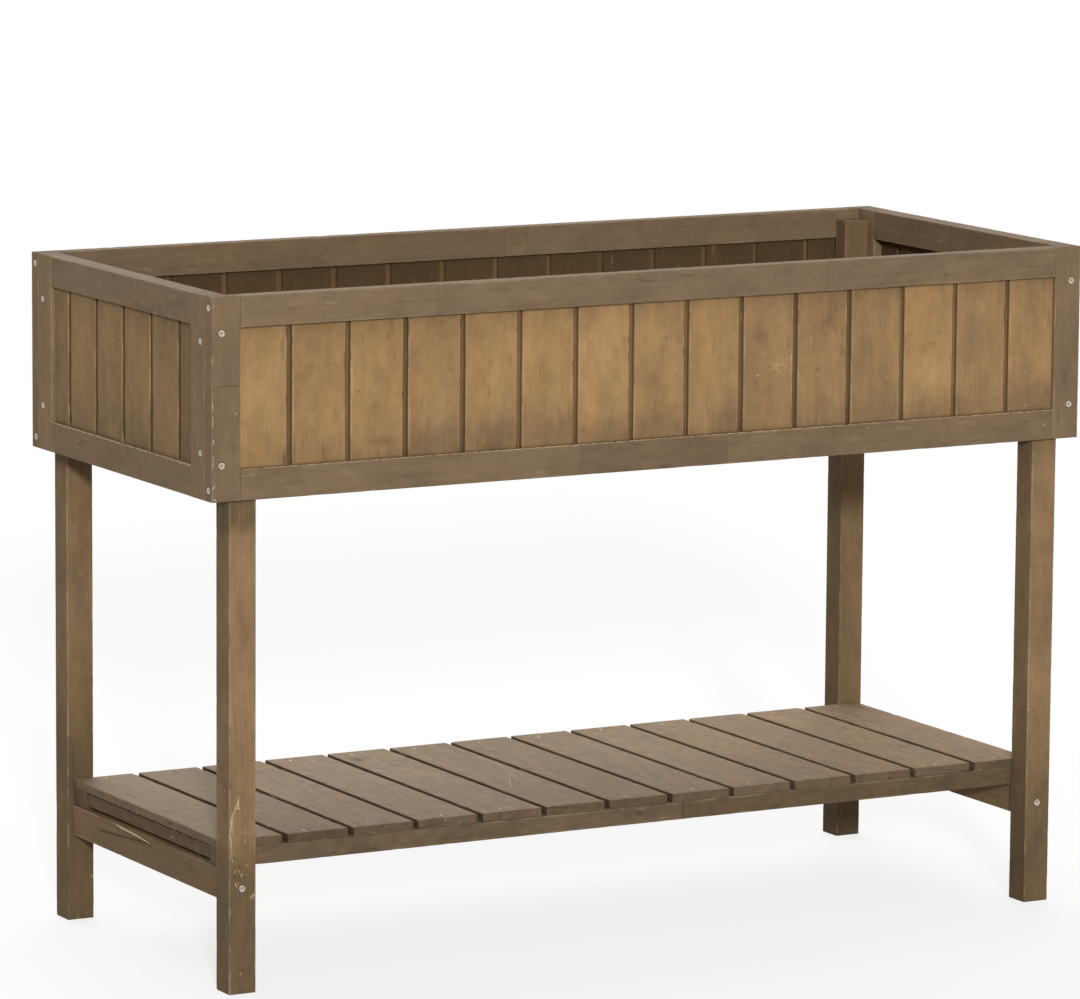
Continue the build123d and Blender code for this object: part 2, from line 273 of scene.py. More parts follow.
def outline(corners, radii, side_lines):
    """Closed outline of a section, anticlockwise, from its corners.

    Each corner is an arc of its own radius, tangent to the sides that meet there. A side has
    points near both of its arcs, in its middle and at its own lines, which are distances from
    its first corner. Every point carries its outward normal, its closeness to an arris (1 on
    it, falling evenly to 0), and the corner whose chips reach it.
    """
    corners, radii = np.asarray(corners, float), np.asarray(radii, float)
    count = len(corners)
    runs = np.roll(corners, -1, axis=0) - corners
    lengths = np.hypot(runs[:, 0], runs[:, 1])
    ways = runs / lengths[:, None]
    normals = np.stack([ways[:, 1], -ways[:, 0]], axis=1)
    arriving, normals_in = np.roll(ways, 1, axis=0), np.roll(normals, 1, axis=0)
    cross = arriving[:, 0] * ways[:, 1] - arriving[:, 1] * ways[:, 0]
    turn = np.arctan2(cross, (arriving * ways).sum(axis=1))
    cut = radii * np.tan(np.abs(turn) / 2)
    rows = []
    for i in range(count):
        steps = (ARC_STEPS if radii[i] > SHARP_RADIUS else 1) + 1
        angle = turn[i] * np.linspace(0, 1, steps)
        c, s = np.cos(angle), np.sin(angle)
        x, y = normals_in[i]
        arc_normals = np.stack([c * x - s * y, s * x + c * y], axis=1)
        bend = np.sign(turn[i]) * radii[i]
        centre = corners[i] - arriving[i] * cut[i] - bend * normals_in[i]
        full = np.ones(steps)
        rows.append((centre + bend * arc_normals, arc_normals, full, np.full(steps, i), full))
        start, stop = cut[i], lengths[i] - cut[(i + 1) % count]
        middle = (start + stop) / 2
        lines = EDGE_LINES[EDGE_LINES < EDGE_LINE_SHARE * (middle - start)]
        marks = np.concatenate([start + lines, [middle], stop - lines, *side_lines.get(i, ())])
        marks = np.unique(np.round(marks, 6))
        marks = marks[(marks > start + LINE_CLEAR) & (marks < stop - LINE_CLEAR)]
        gap = np.minimum(marks - start, stop - marks)
        rows.append((
            corners[i] + ways[i] * marks[:, None],
            np.repeat(normals[i][None], len(marks), axis=0),
            np.clip(1 - gap / EDGE_REACH, 0, 1),
            np.where(marks < middle, i, (i + 1) % count),
            np.clip(1 - gap / CHIP_REACH, 0, 1),
        ))
    columns = [np.concatenate(column) for column in zip(*rows)]
    return dict(zip(("points", "normals", "edge", "corner", "weight"), columns), corners=count)


def ring_places(length, lines, seams):
    """Places of the rings along a plank, how far each is drawn in, and how much of an end it is.

    At each end the rings follow a quarter circle from the end face to the sides. A seam, where
    two lengths of timber are glued, has a narrow V with two rings at its bottom.
    """
    quarter = np.linspace(0, math.pi / 2, ARC_STEPS + 1)
    end_along = np.concatenate([[0.0], END_RADIUS * (1 - np.cos(quarter))])
    end_inset = np.concatenate([[CAP_INSET], END_RADIUS * (1 - np.sin(quarter))])
    end_cut = np.concatenate([[1.0], np.cos(quarter)])
    body = np.linspace(END_RADIUS, length - END_RADIUS, max(2, round(length / RING_STEP)))[1:-1]
    body = np.unique(np.round(np.concatenate([body, *lines]), 7))
    body = body[(body > END_CLEAR) & (body < length - END_CLEAR)]
    body_inset = np.zeros(len(body))
    for seam in seams:
        keep = np.abs(body - seam) > SEAM_CLEAR
        body = np.concatenate([body[keep], seam + SEAM_RINGS])
        body_inset = np.concatenate([body_inset[keep], [0, SEAM_DEPTH, SEAM_DEPTH, 0]])
        order = np.argsort(body, kind="stable")
        body, body_inset = body[order], body_inset[order]
    along = np.concatenate([end_along, body, length - end_along[::-1]])
    inset = np.concatenate([end_inset, body_inset, end_inset[::-1]])
    cut = np.concatenate([end_cut, np.zeros(len(body)), end_cut[::-1]])
    return along, inset, cut


def carry(section, along, inset, rng, chip_depth):
    """Carry a section along a straight line and chip its arrises.

    Point i of ring j is section point i moved inwards by the ring's inset and by the chip at
    its corner: a random curve along the plank, cut off at a level, so that only peaks bite.
    """
    chips = np.stack([drift(rng, along, CHIP_SPACING) for _ in range(section["corners"])], axis=1)
    bite = chip_depth * np.clip(chips - CHIP_LEVEL, 0, 1) / (1 - CHIP_LEVEL)
    back = inset[:, None] + bite[:, section["corner"]] * section["weight"]
    flat = section["points"][None] - back[..., None] * section["normals"][None]
    return np.concatenate([flat, np.broadcast_to(along[:, None, None], (*flat.shape[:2], 1))], axis=2)


def skinned(points, grain, stain, wear):
    """A carried shape: its layers, quads between neighbouring rings and one cap on each end."""
    index = np.arange(points.shape[0] * points.shape[1]).reshape(points.shape[:2])
    ahead = np.roll(index, -1, axis=1)
    quads = np.stack([index[:-1], ahead[:-1], ahead[1:], index[1:]], axis=-1).reshape(-1, 4)
    faces = (quads, index[:1, ::-1], index[-1:])
    return {"points": points, "grain": grain, "stain": stain, "wear": wear, "faces": faces}


def timber(
    rng, rings, cut, section, seams, tone, grey, side_tones_and_light=EVEN, side_shades=EVEN, end_tone=0.0, shade_fades=()
):
    """Grain, stain and wear of a plank at each of its points.

    Grain is the place in the plank's own length and section, moved by a random amount for each
    length of timber in it. Stain is tone, greyness and a share of painted shade and dark marks,
    wear is closeness to an arris, scuffing and a share for cut ends. Each side may be toned
    lighter or darker, for its own colour or to paint the light that falls on it, changing over at
    the arris, and so may the cut ends. Each side may also carry its own share of painted shade. A
    shade fade paints shade by changing tone, greyness and the shade share by a smooth step
    between two places along the plank.
    """
    lengths = len(seams) + 1
    part = np.searchsorted(np.sort(np.asarray(seams, float)), rings[:, 0, 2])
    shift = rng.uniform(*GRAIN_SHIFT, (lengths, 3))
    tones = tone + rng.uniform(-TONE_SPREAD, TONE_SPREAD, lengths)
    greys = np.clip(grey + rng.uniform(-GREY_SPREAD, GREY_SPREAD, lengths), 0, 1)
    facing = np.clip(section["normals"] @ np.array(SIDE_WAYS).T, 0, 1) ** 2
    grain = np.stack([rings[..., 2], rings[..., 0], rings[..., 1]], axis=-1) + shift[part][:, None]
    ends = cut[:, None]
    stain = np.zeros(rings.shape)
    toned = (1 - ends) * (facing @ np.asarray(side_tones_and_light, float))
    stain[..., 0] = tones[part][:, None] + toned + ends * end_tone
    stain[..., 1] = greys[part][:, None] * (1 - ends)
    stain[..., 2] = (1 - ends) * (facing @ np.asarray(side_shades, float))
    for start, stop, *changes in shade_fades:
        stain += smooth(start, stop, rings[..., 2])[..., None] * np.array(changes)
    wear = np.zeros(rings.shape)
    wear[..., 0] = np.where(ends > NEARLY_ONE, CUT_EDGE, section["edge"][None])
    wear[..., 2] = ends
    return grain, stain, wear


def spots(points, marks):
    """Sum of soft round marks: each has a centre, a reach along every axis and a strength."""
    total = np.zeros(points.shape[:-1])
    for centre, reach, strength in marks:
        away = (points - np.asarray(centre)) / np.asarray(reach)
        total += strength * np.exp(-(away**2).sum(axis=-1))
    return total


def seats_of(low, high, axis):
    """The screws whose heads lie on a long face of this box."""
    screws = [screw for group in SCREWS.values() for screw in group]
    inside = [np.all(p > low - SEAT_SLACK) and np.all(p < high + SEAT_SLACK) for p, _ in screws]
    return [(p, n) for (p, n), held in zip(screws, inside) if held and not n[axis]]


def plank_lines(low, high, axis, seats, rebates, marks):
    """Lines that a plank needs on each side and along its length, for its seats, rebates and marks."""
    across, up = (axis + 1) % 3, (axis + 2) % 3
    half, centre = (high - low) / 2, (low + high) / 2
    w, h = half[across], half[up]
    side_lines = {side: [] for side in range(len(SIDE_WAYS))}
    ring_lines = []

    def side_places(place):
        """Distance of a place from the first corner of each side."""
        p, q = place[across] - centre[across], place[up] - centre[up]
        return h + q, w - p, h - q, w + p

    for point, normal in seats:
        side = SIDE_WAYS.index((normal[across], normal[up]))
        side_lines[side].append(side_places(point)[side] + SEAT_FAN)
        ring_lines.append(point[axis] - low[axis] + SEAT_FAN)
    for *_, start, stop in rebates:
        steps = np.array([start, stop]) - low[axis]
        ring_lines += [steps - REBATE_EDGE, steps + REBATE_EDGE]
    for place, reach, *_ in marks:
        ring_lines.append(place[axis] - low[axis] + SPOT_RINGS * reach[axis])
        for side, distance in enumerate(side_places(place)):
            side_lines[side].append(distance + SPOT_LINES * reach[(up, across)[side % 2]])
    return side_lines, ring_lines


def plank(
    low, high, axis, rng, radius=PLANK_RADIUS, chip=PLANK_CHIP, tone=0.5, grey=0.0, seams=(), rebates=(),
    scuffs=(), scoops=(), side_tones_and_light=EVEN, side_shades=EVEN, end_tone=0.0, shade_fades=(),
):
    """A sawn plank that fills a box, its length along one axis, with eased and worn arrises.

    Its section is a rectangle with rounded corners. Screw seats are dished into its faces by a
    smooth step of the distance from the screw, with painted shade in the dish. A rebate holds the
    points of a stretch of the plank back to a plane. A scuff is a soft round mark of flaked stain
    or a painted highlight, and a scoop is one that moves points along a direction and darkens
    them: a dent or a crack, or a line of painted shade where it moves nothing. Seams are glued
    joints.
    """
    low, high = np.array(low, float), np.array(high, float)
    across, up = (axis + 1) % 3, (axis + 2) % 3
    half, centre = (high - low) / 2, (low + high) / 2
    w, h = half[across], half[up]
    seats = seats_of(low, high, axis)
    side_lines, ring_lines = plank_lines(low, high, axis, seats, rebates, (*scuffs, *scoops))
    seams = np.asarray(seams, float) - low[axis]
    along, inset, cut = ring_places(2 * half[axis], ring_lines, seams)
    section = outline([(w, -h), (w, h), (-w, h), (-w, -h)], [radius] * 4, side_lines)
    rings = carry(section, along, inset, rng, chip)
    shade_fades = [(start - low[axis], stop - low[axis], *changes) for start, stop, *changes in shade_fades]
    grain, stain, wear = timber(
        rng, rings, cut, section, seams, tone, grey, side_tones_and_light, side_shades, end_tone, shade_fades
    )
    points = np.empty_like(rings)
    points[..., across] = rings[..., 0] + centre[across]
    points[..., up] = rings[..., 1] + centre[up]
    points[..., axis] = rings[..., 2] + low[axis]
    face_normals = np.zeros((len(section["points"]), 3))
    face_normals[:, across], face_normals[:, up] = section["normals"].T
    for point, normal in seats:
        away = np.linalg.norm((points - point) * (1 - np.abs(normal)), axis=-1)
        sunk = (face_normals @ normal > NEARLY_ONE) * (1 - smooth(SEAT_FLOOR, SEAT_MOUTH, away))
        points -= (SEAT_DEPTH * sunk)[..., None] * normal
        # Painted shade in the dished seat
        stain[..., 2] = np.maximum(stain[..., 2], SEAT_SHADE * sunk)
    for world_axis, sign, limit, start, stop in rebates:
        held = (points[..., axis] > start) & (points[..., axis] < stop)
        value = points[..., world_axis]
        points[..., world_axis] = np.where(held, sign * np.minimum(sign * value, sign * limit), value)
    wear[..., 1] = spots(points, scuffs)
    for place, reach, depth, direction, dark in scoops:
        shade_and_marks = spots(points, [(place, reach, 1.0)])
        stain[..., 2] = np.maximum(stain[..., 2], dark * shade_and_marks)
        points = points + depth * shade_and_marks[..., None] * np.asarray(direction)
    return skinned(points, grain, stain, wear)


def risen(edge, reach, value):
    """Smooth step between two distances from an edge."""
    return smooth(edge + reach[0], edge + reach[1], value)


def board_corners(start, end, tongue, groove):
    """Corners of a board's section, x along the panel and y inwards, its two face corners first."""
    face, back = BOARD_RECESS, BOARD_RECESS + BOARD_THICKNESS
    middle = (face + back) / 2
    lip = TONGUE_THICKNESS / 2
    slot = lip + TONGUE_PLAY
    tip = end + BOARD_GAP + TONGUE_LENGTH
    floor = start + TONGUE_LENGTH + GROOVE_PLAY
    corners = [(start, face), (end, face)]
    if tongue:
        corners += [(end, middle - lip), (tip, middle - lip), (tip, middle + lip), (end, middle + lip)]
    corners += [(end, back), (start, back)]
    if groove:
        upper, lower = middle + slot, middle - slot
        corners += [(start, upper), (floor, upper), (floor, lower), (start, lower)]
    return corners


def board(start, end, tongue, groove, rng, tone, grey, shade, lit, marks):
    """An upright board in the frame of its panel: x along the panel, y inwards from its outer face.

    The section is a rectangle with rounded face corners, a tongue on the right and a groove on
    the left. Its painted shade is 1 in the joint and next to the rails, falling away from both,
    with painted light on the tongue and on the joint's left wall, and a painted shadow of the top
    rail darkens its head. The shade argument is painted shade over the whole board.
    Marks are soft ovals that darken the stain, flake it or grey it. Each has its place as shares
    of the visible face and its reach in millimetres.
    """
    corners = board_corners(start, end, tongue, groove)
    radii = [BOARD_FACE_RADIUS] * 2 + [BOARD_HIDDEN_RADIUS] * (len(corners) - 2)
    ovals = []
    for across, up, reach_across, reach_up, *shares in marks:
        centre = (start + across * (end - start), OPENING_LOW + up * (OPENING_HIGH - OPENING_LOW))
        ovals.append((centre, (reach_across * MM, reach_up * MM), shares))
    face_lines = [centre[0] - start + MARK_FAN * reach[0] for centre, reach, _ in ovals]
    section = outline(corners, radii, {0: face_lines})
    for key in ("weight", "edge"):
        section[key] = np.where(section["corner"] < 2, section[key], 0)
    heights = [OPENING_LOW + RAIL_LINES, OPENING_HIGH - RAIL_LINES]
    heights += [centre[1] + MARK_FAN * reach[1] for centre, reach, _ in ovals]
    along, inset, cut = ring_places(BOARD_HIGH - BOARD_LOW, [line - BOARD_LOW for line in heights], ())
    rings = carry(section, along, np.minimum(inset, BOARD_END_INSET), rng, BOARD_CHIP)
    grain, stain, wear = timber(rng, rings, cut, section, (), tone, grey)
    points = rings + np.array([0, 0, BOARD_LOW])
    x, y, z = np.moveaxis(points, -1, 0)
    # Painted shade next to the rails and in the joint, with painted light on the tongue and on the joint's
    # left wall
    by_foot = 1 - smooth(OPENING_LOW, OPENING_LOW + RAIL_SHADE_LOW, z)
    by_rail = np.maximum(by_foot, smooth(OPENING_HIGH - RAIL_SHADE_HIGH, OPENING_HIGH, z))
    wall = risen(BOARD_RECESS, BOARD_WALL, y)
    on_left = 1 - risen(start, BOARD_LEFT_EDGE, x)
    on_tongue = risen(end, TONGUE_NEAR, x) * (1 - risen(end, TONGUE_FAR, x))
    in_joint = wall * (JOINT_SHADE - rng.uniform(*TONGUE_LIGHT) * on_tongue - lit * on_left)
    stain[..., 2] = np.maximum(np.maximum(RAIL_SHADE * by_rail, in_joint), shade)
    low_end = 1 - smooth(OPENING_LOW, OPENING_LOW + FOOT_REACH, z)
    high_end = smooth(OPENING_HIGH - HEAD_WEAR_REACH, OPENING_HIGH, z)
    # Painted shadow of the top rail over the head of the board
    head = smooth(OPENING_HIGH - RAIL_SHADOW_REACH, OPENING_HIGH, z)
    stain[..., 0] += MIDDLE_TONE - RAIL_SHADOW_TONE * head - FOOT_TONE * low_end
    stain[..., 1] += low_end * rng.uniform(*FOOT_GREY)
    wear[..., 1] = rng.uniform(*BOARD_FLAKES)
    wear[..., 2] = np.maximum(low_end * rng.uniform(*BOARD_END_WEAR), high_end * rng.uniform(*BOARD_END_WEAR))
    front = y < BOARD_RECESS + BOARD_FACE_DEPTH
    for centre, reach, (dark, raw, greyed) in ovals:
        share = front * np.exp(-(((x - centre[0]) / reach[0]) ** 2) - ((z - centre[1]) / reach[1]) ** 2)
        stain[..., 2] = np.maximum(stain[..., 2], dark * share)
        stain[..., 1] += greyed * share
        wear[..., 1] += raw * share
    return skinned(points, grain, stain, wear)


def into_scene(name, data):
    """A new object in the scene that holds a mesh, a light or a camera."""
    made = bpy.data.objects.new(name, data)
    bpy.context.scene.collection.objects.link(made)
    return made


def add_piece(name, points, faces, material, nodes, layers=None):
    """Put a finished surface into the scene in place of the construction nodes it stands for."""
    mesh = bpy.data.meshes.new(name)
    mesh.from_pydata(points.tolist(), [], faces)
    sides = np.empty(len(mesh.polygons), np.int32)
    mesh.polygons.foreach_get("loop_total", sides)
    mesh.polygons.foreach_set("use_smooth", sides <= 4)
    for key, values in (layers or {}).items():
        layer = mesh.attributes.new(key, "FLOAT_VECTOR", "POINT")
        layer.data.foreach_set("vector", values.astype(np.float32).ravel())
    mesh.materials.append(material)
    mesh.update()
    piece = into_scene(name, mesh)
    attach(piece, "root")
    if nodes:
        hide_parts(*nodes)


def add_timber(name, solids, nodes, slot):
    """Put one or more carried shapes into the scene as one piece with its grain, stain and wear."""
    faces, first = [], 0
    for solid in solids:
        for block in solid["faces"]:
            faces += (block + first).tolist()
        first += solid["points"].size // 3
    keys = ("points", "grain", "stain", "wear")
    layers = {key: np.concatenate([solid[key].reshape(-1, 3) for solid in solids]) for key in keys}
    add_piece(name, layers.pop("points"), faces, WOODS[slot], nodes, layers)


def add_plank(name, solid, slot):
    """Put one plank into the scene in place of its construction node."""
    add_timber(f"{name}_timber", [solid], [name], slot)


def srgb(red, green, blue):
    """A colour given in 8-bit display values, as the linear values that a shader takes."""
    value = np.array([red, green, blue]) / 255
    linear = np.where(value <= 0.04045, value / 12.92, ((value + 0.055) / 1.055) ** 2.4)
    return (*linear.tolist(), 1.0)


def fill(tree, made, values):
    """Link or set the input sockets of a node."""
    for key, value in values.items():
        if isinstance(value, bpy.types.NodeSocket):
            tree.links.new(value, made.inputs[key])
        else:
            made.inputs[key].default_value = value
    return made


def node(tree, kind, values=None, **settings):
    """A shader node with its settings, its sockets linked or set to values."""
    made = tree.nodes.new("ShaderNode" + kind)
    for key, value in settings.items():
        setattr(made, key, value)
    return fill(tree, made, values or {})


def sums(tree, operation, first, second=0.5, third=0.5):
    """The result of one Math node."""
    return node(tree, "Math", {0: first, 1: second, 2: third}, operation=operation).outputs[0]


def times(tree, first, second):
    """The product of two values."""
    return sums(tree, "MULTIPLY", first, second)


def most(tree, first, second):
    """The larger of two values."""
    return sums(tree, "MAXIMUM", first, second)


def vectors(tree, operation, first, second):
    """The result of one Vector Math node."""
    return node(tree, "VectorMath", {0: first, 1: second}, operation=operation).outputs[0]


def ramp(tree, value, low, high, to_low=0.0, to_high=1.0):
    """A value carried from one range to another by a smooth step."""
    values = {"Value": value, "From Min": low, "From Max": high, "To Min": to_low, "To Max": to_high}
    return node(tree, "MapRange", values, interpolation_type="SMOOTHSTEP").outputs[0]


def blend(tree, share, first, second, way="MIX"):
    """Two colours mixed by a share."""
    made = node(tree, "Mix", {0: share, 6: first, 7: second}, data_type="RGBA", blend_type=way)
    return made.outputs[2]


def texture(tree, kind, vector, along, across, **values):
    """Outputs of a texture that repeats so many times a metre along and across the grain."""
    drawn = vectors(tree, "MULTIPLY", vector, (along, across, across))
    return node(tree, kind, {"Vector": drawn, "Scale": 1.0, **values}).outputs


def noise(tree, vector, along, across, detail, rough=0.5):
    """Soft noise as a value from 0 to 1, and as a colour."""
    return texture(tree, "TexNoise", vector, along, across, Detail=detail, Roughness=rough)


def cloud(tree, vector, scales):
    """The value of a noise, given its scales, detail and roughness."""
    return noise(tree, vector, *scales)[0]


def new_group(name, inputs, outputs):
    """An empty node group that takes the grain and values: its tree, inner inputs and outputs."""
    tree = bpy.data.node_groups.new(name, "ShaderNodeTree")
    tree.interface.new_socket("Grain", in_out="INPUT", socket_type="NodeSocketVector")
    for label, value in inputs.items():
        socket = tree.interface.new_socket(label, in_out="INPUT", socket_type="NodeSocketFloat")
        socket.default_value = value
    for label in outputs:
        kind = "NodeSocketColor" if label == "Tint" else "NodeSocketFloat"
        tree.interface.new_socket(label, in_out="OUTPUT", socket_type=kind)
    return tree, tree.nodes.new("NodeGroupInput").outputs, tree.nodes.new("NodeGroupOutput")


# Noises of the stained wood: repeats a metre along and across the grain, detail, roughness
PITH_WANDER = (2.5, 14, 1.0)
RING_SPACING = (1.5, 9, 1.0)
STREAKS = (4, 130, 3.0, 0.6)
THREADS = (9, 420, 2.0, 0.6)
FIBRES = (22, 1100, 2.0, 0.6)
BLOTCHES = (13, 28, 4.0, 0.6)
MOTTLING = (70, 90, 3.0, 0.6)
CASTS = (6, 34, 2.0)
DASHES = (32, 170, 2.0, 0.55)
DASH_PLACES = (11, 17, 1.0)
RUB_ROUGHNESS = (45, 160, 4.0, 0.65)
RUB_PLACES = (9, 9, 1.0)
FLAKES = (240, 600, 4.0, 0.7)
SCRATCHES = (14, 420, 2.0)
SCRATCH_PLACES = (12, 20, 1.0)
CHECKS = (11, 330, 1.0)

# Growth rings: how far the pith wanders and climbs, rings a metre, sharpness of the late wood
PITH_REACH = (0.0, 0.030, 0.030)
PITH_CLIMB = 0.035
RINGS_PER_METRE = 190.0
LATE_SHARPNESS = 3.0
LATE_MEAN = 0.15
OLIVE_CAST = (0.985, 1.0, 0.995, 1)
RUSSET_CAST = (1.030, 0.997, 0.965, 1)

# Scattered marks: repeats a metre along and across, how rare specks are, and the scratches' angle
KNOT_SCATTER = (9, 14)
SPECK_SCATTER = (60, 75)
SPECK_RARITY = 0.78
CHALK_RARITY = 0.93
SCRATCH_ANGLE = 0.5


def softwood_grain_group():
    """Growth rings, streaks, fibres and blotches of stained softwood.

    Rings are the distance from a pith line that climbs slowly through the plank and wanders
    with soft noise; the late wood is a narrow dark band in each ring. Streaks and fibres are
    noise drawn out along the grain, blotches and mottling are where the stain took unevenly, and
    the tint runs between a russet and an olive cast.
    """
    tree, given, out = new_group(
        "softwood grain",
        {"Figure": 0.5, "Streak": 0.5, "Blotch": 0.5, "Mottle": 0.5},
        ("Shade", "Height", "Patch", "Tint"),
    )
    grain = given["Grain"]
    wander = vectors(tree, "MULTIPLY", noise(tree, grain, *PITH_WANDER)["Color"], PITH_REACH)
    axes = node(tree, "SeparateXYZ", {0: vectors(tree, "ADD", grain, wander)}).outputs
    climb = sums(tree, "MULTIPLY_ADD", axes[0], PITH_CLIMB, axes[1])
    flat = node(tree, "CombineXYZ", {1: climb, 2: axes[2]}).outputs[0]
    radius = node(tree, "VectorMath", {0: flat}, operation="LENGTH").outputs["Value"]
    ring = sums(tree, "FRACT", times(tree, radius, RINGS_PER_METRE))
    late = times(tree, sums(tree, "POWER", ring, LATE_SHARPNESS), ramp(tree, ring, 1.0, 0.90))
    late = times(tree, late, ramp(tree, cloud(tree, grain, RING_SPACING), 0.35, 0.65))
    noises = (STREAKS, BLOTCHES, THREADS, MOTTLING, FIBRES)
    streak, blotch, thread, mottle, fibre = (cloud(tree, grain, scales) for scales in noises)
    shade = times(tree, sums(tree, "SUBTRACT", LATE_MEAN, late), given["Figure"])
    shading = (
        (streak, given["Streak"]), (blotch, given["Blotch"]), (thread, times(tree, given["Streak"], 0.5)),
        (mottle, given["Mottle"]), (fibre, 0.5),
    )
    for value, strength in shading:
        shade = sums(tree, "MULTIPLY_ADD", sums(tree, "SUBTRACT", value, 0.5), strength, shade)
    height = sums(tree, "MULTIPLY_ADD", fibre, 0.6, times(tree, thread, 0.5))
    height = sums(tree, "MULTIPLY_ADD", late, 0.35, height)
    cast = ramp(tree, cloud(tree, grain, CASTS), 0.30, 0.70)
    tint = blend(tree, cast, OLIVE_CAST, RUSSET_CAST)
    fill(tree, out, {"Shade": shade, "Height": height, "Patch": blotch, "Tint": tint})
    return tree


def knots_group():
    """Knots, dashes and pin specks.

    A knot is a dark oval round the nearest of scattered points, kept where that point's number
    is high, and a speck is the same on a finer scatter. A dash is a peak of noise drawn out
    along the grain, and a fleck a low of the same noise. Chalk marks are specks of pale dust.
    """
    tree, given, out = new_group(
        "knots and specks", {"Rarity": 0.8}, ("Knot", "Speck", "Dash", "Chalk", "Fleck")
    )
    grain = given["Grain"]
    coarse = texture(tree, "TexVoronoi", grain, *KNOT_SCATTER)
    pick = node(tree, "SeparateColor", {0: coarse["Color"]}).outputs[0]
    core = ramp(tree, coarse["Distance"], 0.17, 0.02)
    knot = times(tree, core, sums(tree, "GREATER_THAN", pick, given["Rarity"]))
    fine = texture(tree, "TexVoronoi", grain, *SPECK_SCATTER)
    picks = node(tree, "SeparateColor", {0: fine["Color"]}).outputs
    dot = ramp(tree, fine["Distance"], 0.12, 0.05)
    speck = times(tree, dot, sums(tree, "GREATER_THAN", picks[0], SPECK_RARITY))
    chalk = times(tree, dot, sums(tree, "GREATER_THAN", picks[1], CHALK_RARITY))
    drawn, place = cloud(tree, grain, DASHES), cloud(tree, grain, DASH_PLACES)
    dash = times(tree, ramp(tree, drawn, 0.60, 0.72), ramp(tree, place, 0.42, 0.65))
    fleck = times(tree, ramp(tree, drawn, 0.37, 0.27), ramp(tree, place, 0.55, 0.38))
    fill(tree, out, {"Knot": knot, "Speck": speck, "Dash": dash, "Chalk": chalk, "Fleck": fleck})
    return tree


def arris_wear_group():
    """Where handling has rubbed the stain off: closeness to an arris against drawn-out noise."""
    tree, given, out = new_group("arris wear", {"Edge": 0.0, "Amount": 0.5}, ("Rubbed",))
    need = sums(tree, "MULTIPLY_ADD", cloud(tree, given["Grain"], RUB_ROUGHNESS), -0.60, 1.50)
    need = sums(tree, "MULTIPLY_ADD", cloud(tree, given["Grain"], RUB_PLACES), -0.40, need)
    reach = sums(tree, "SUBTRACT", given["Edge"], need)
    fill(tree, out, {"Rubbed": times(tree, ramp(tree, reach, -0.08, 0.16), given["Amount"])})
    return tree


def scuff_group():
    """Flaked and scratched stain, and checks.

    Flakes are noise drawn along the grain, let through by the scuff share. Scratches are thin
    lines at an angle to the grain. Checks are thin cracks along the grain, close to cut ends.
    """
    tree, given, out = new_group(
        "scuffs", {"Scuff": 0.0, "Scratch": 0.3, "End": 0.0}, ("Raw", "Scratched", "Check")
    )
    grain = given["Grain"]
    level = sums(tree, "MULTIPLY_ADD", given["Scuff"], -0.36, 0.82)
    raw = ramp(tree, sums(tree, "SUBTRACT", cloud(tree, grain, FLAKES), level), 0.0, 0.06)
    angled = node(tree, "VectorRotate", {"Vector": grain, "Angle": SCRATCH_ANGLE}, rotation_type="Z_AXIS")
    thin, where = cloud(tree, angled.outputs[0], SCRATCHES), cloud(tree, grain, SCRATCH_PLACES)
    line = times(tree, ramp(tree, thin, 0.66, 0.76), ramp(tree, where, 0.58, 0.78))
    tight = sums(tree, "MULTIPLY_ADD", given["End"], -0.11, 0.84)
    check = ramp(tree, sums(tree, "SUBTRACT", cloud(tree, grain, CHECKS), tight), 0.0, 0.03)
    fill(tree, out, {"Raw": raw, "Scratched": times(tree, line, given["Scratch"]), "Check": check})
    return tree


GRAIN = softwood_grain_group()
KNOTS = knots_group()
ARRIS = arris_wear_group()
SCUFFS = scuff_group()

# Colour of shadowed and soiled wood, how far each mark takes the stain to it, and how far each
# kind of wear shows the raw wood
SHADE_AND_SOIL = srgb(62, 47, 30)
KNOT_DEPTH = 0.50
SPECK_DEPTH = 0.38
CHECK_DEPTH = 0.75
SHADE_AND_MARK_DEPTH = 0.90
END_DEPTH = 0.30
FLAKE_SHARE = 0.75
CHALK_SHARE = 0.45
RAW_WOOD = (200, 168, 122)
WOOD_ROUGHNESS = (0.70, 0.86)
WOOD_SPECULAR = 0.12
RELIEF_STRENGTH = 0.3
RELIEF_DISTANCE = 0.6 * MM


def new_material(name):
    """A new material: itself, its node tree and its shader."""
    material = bpy.data.materials.new(name)
    material.use_nodes = True
    return material, material.node_tree, material.node_tree.nodes["Principled BSDF"]


def layer_of(tree, key):
    """The outputs of a layer that the mesh carries."""
    return node(tree, "Attribute", attribute_name=key).outputs


def use_group(tree, group, grain, **values):
    """A node group placed in a material: its outputs."""
    return node(tree, "Group", {"Grain": grain, **values}, node_tree=group).outputs


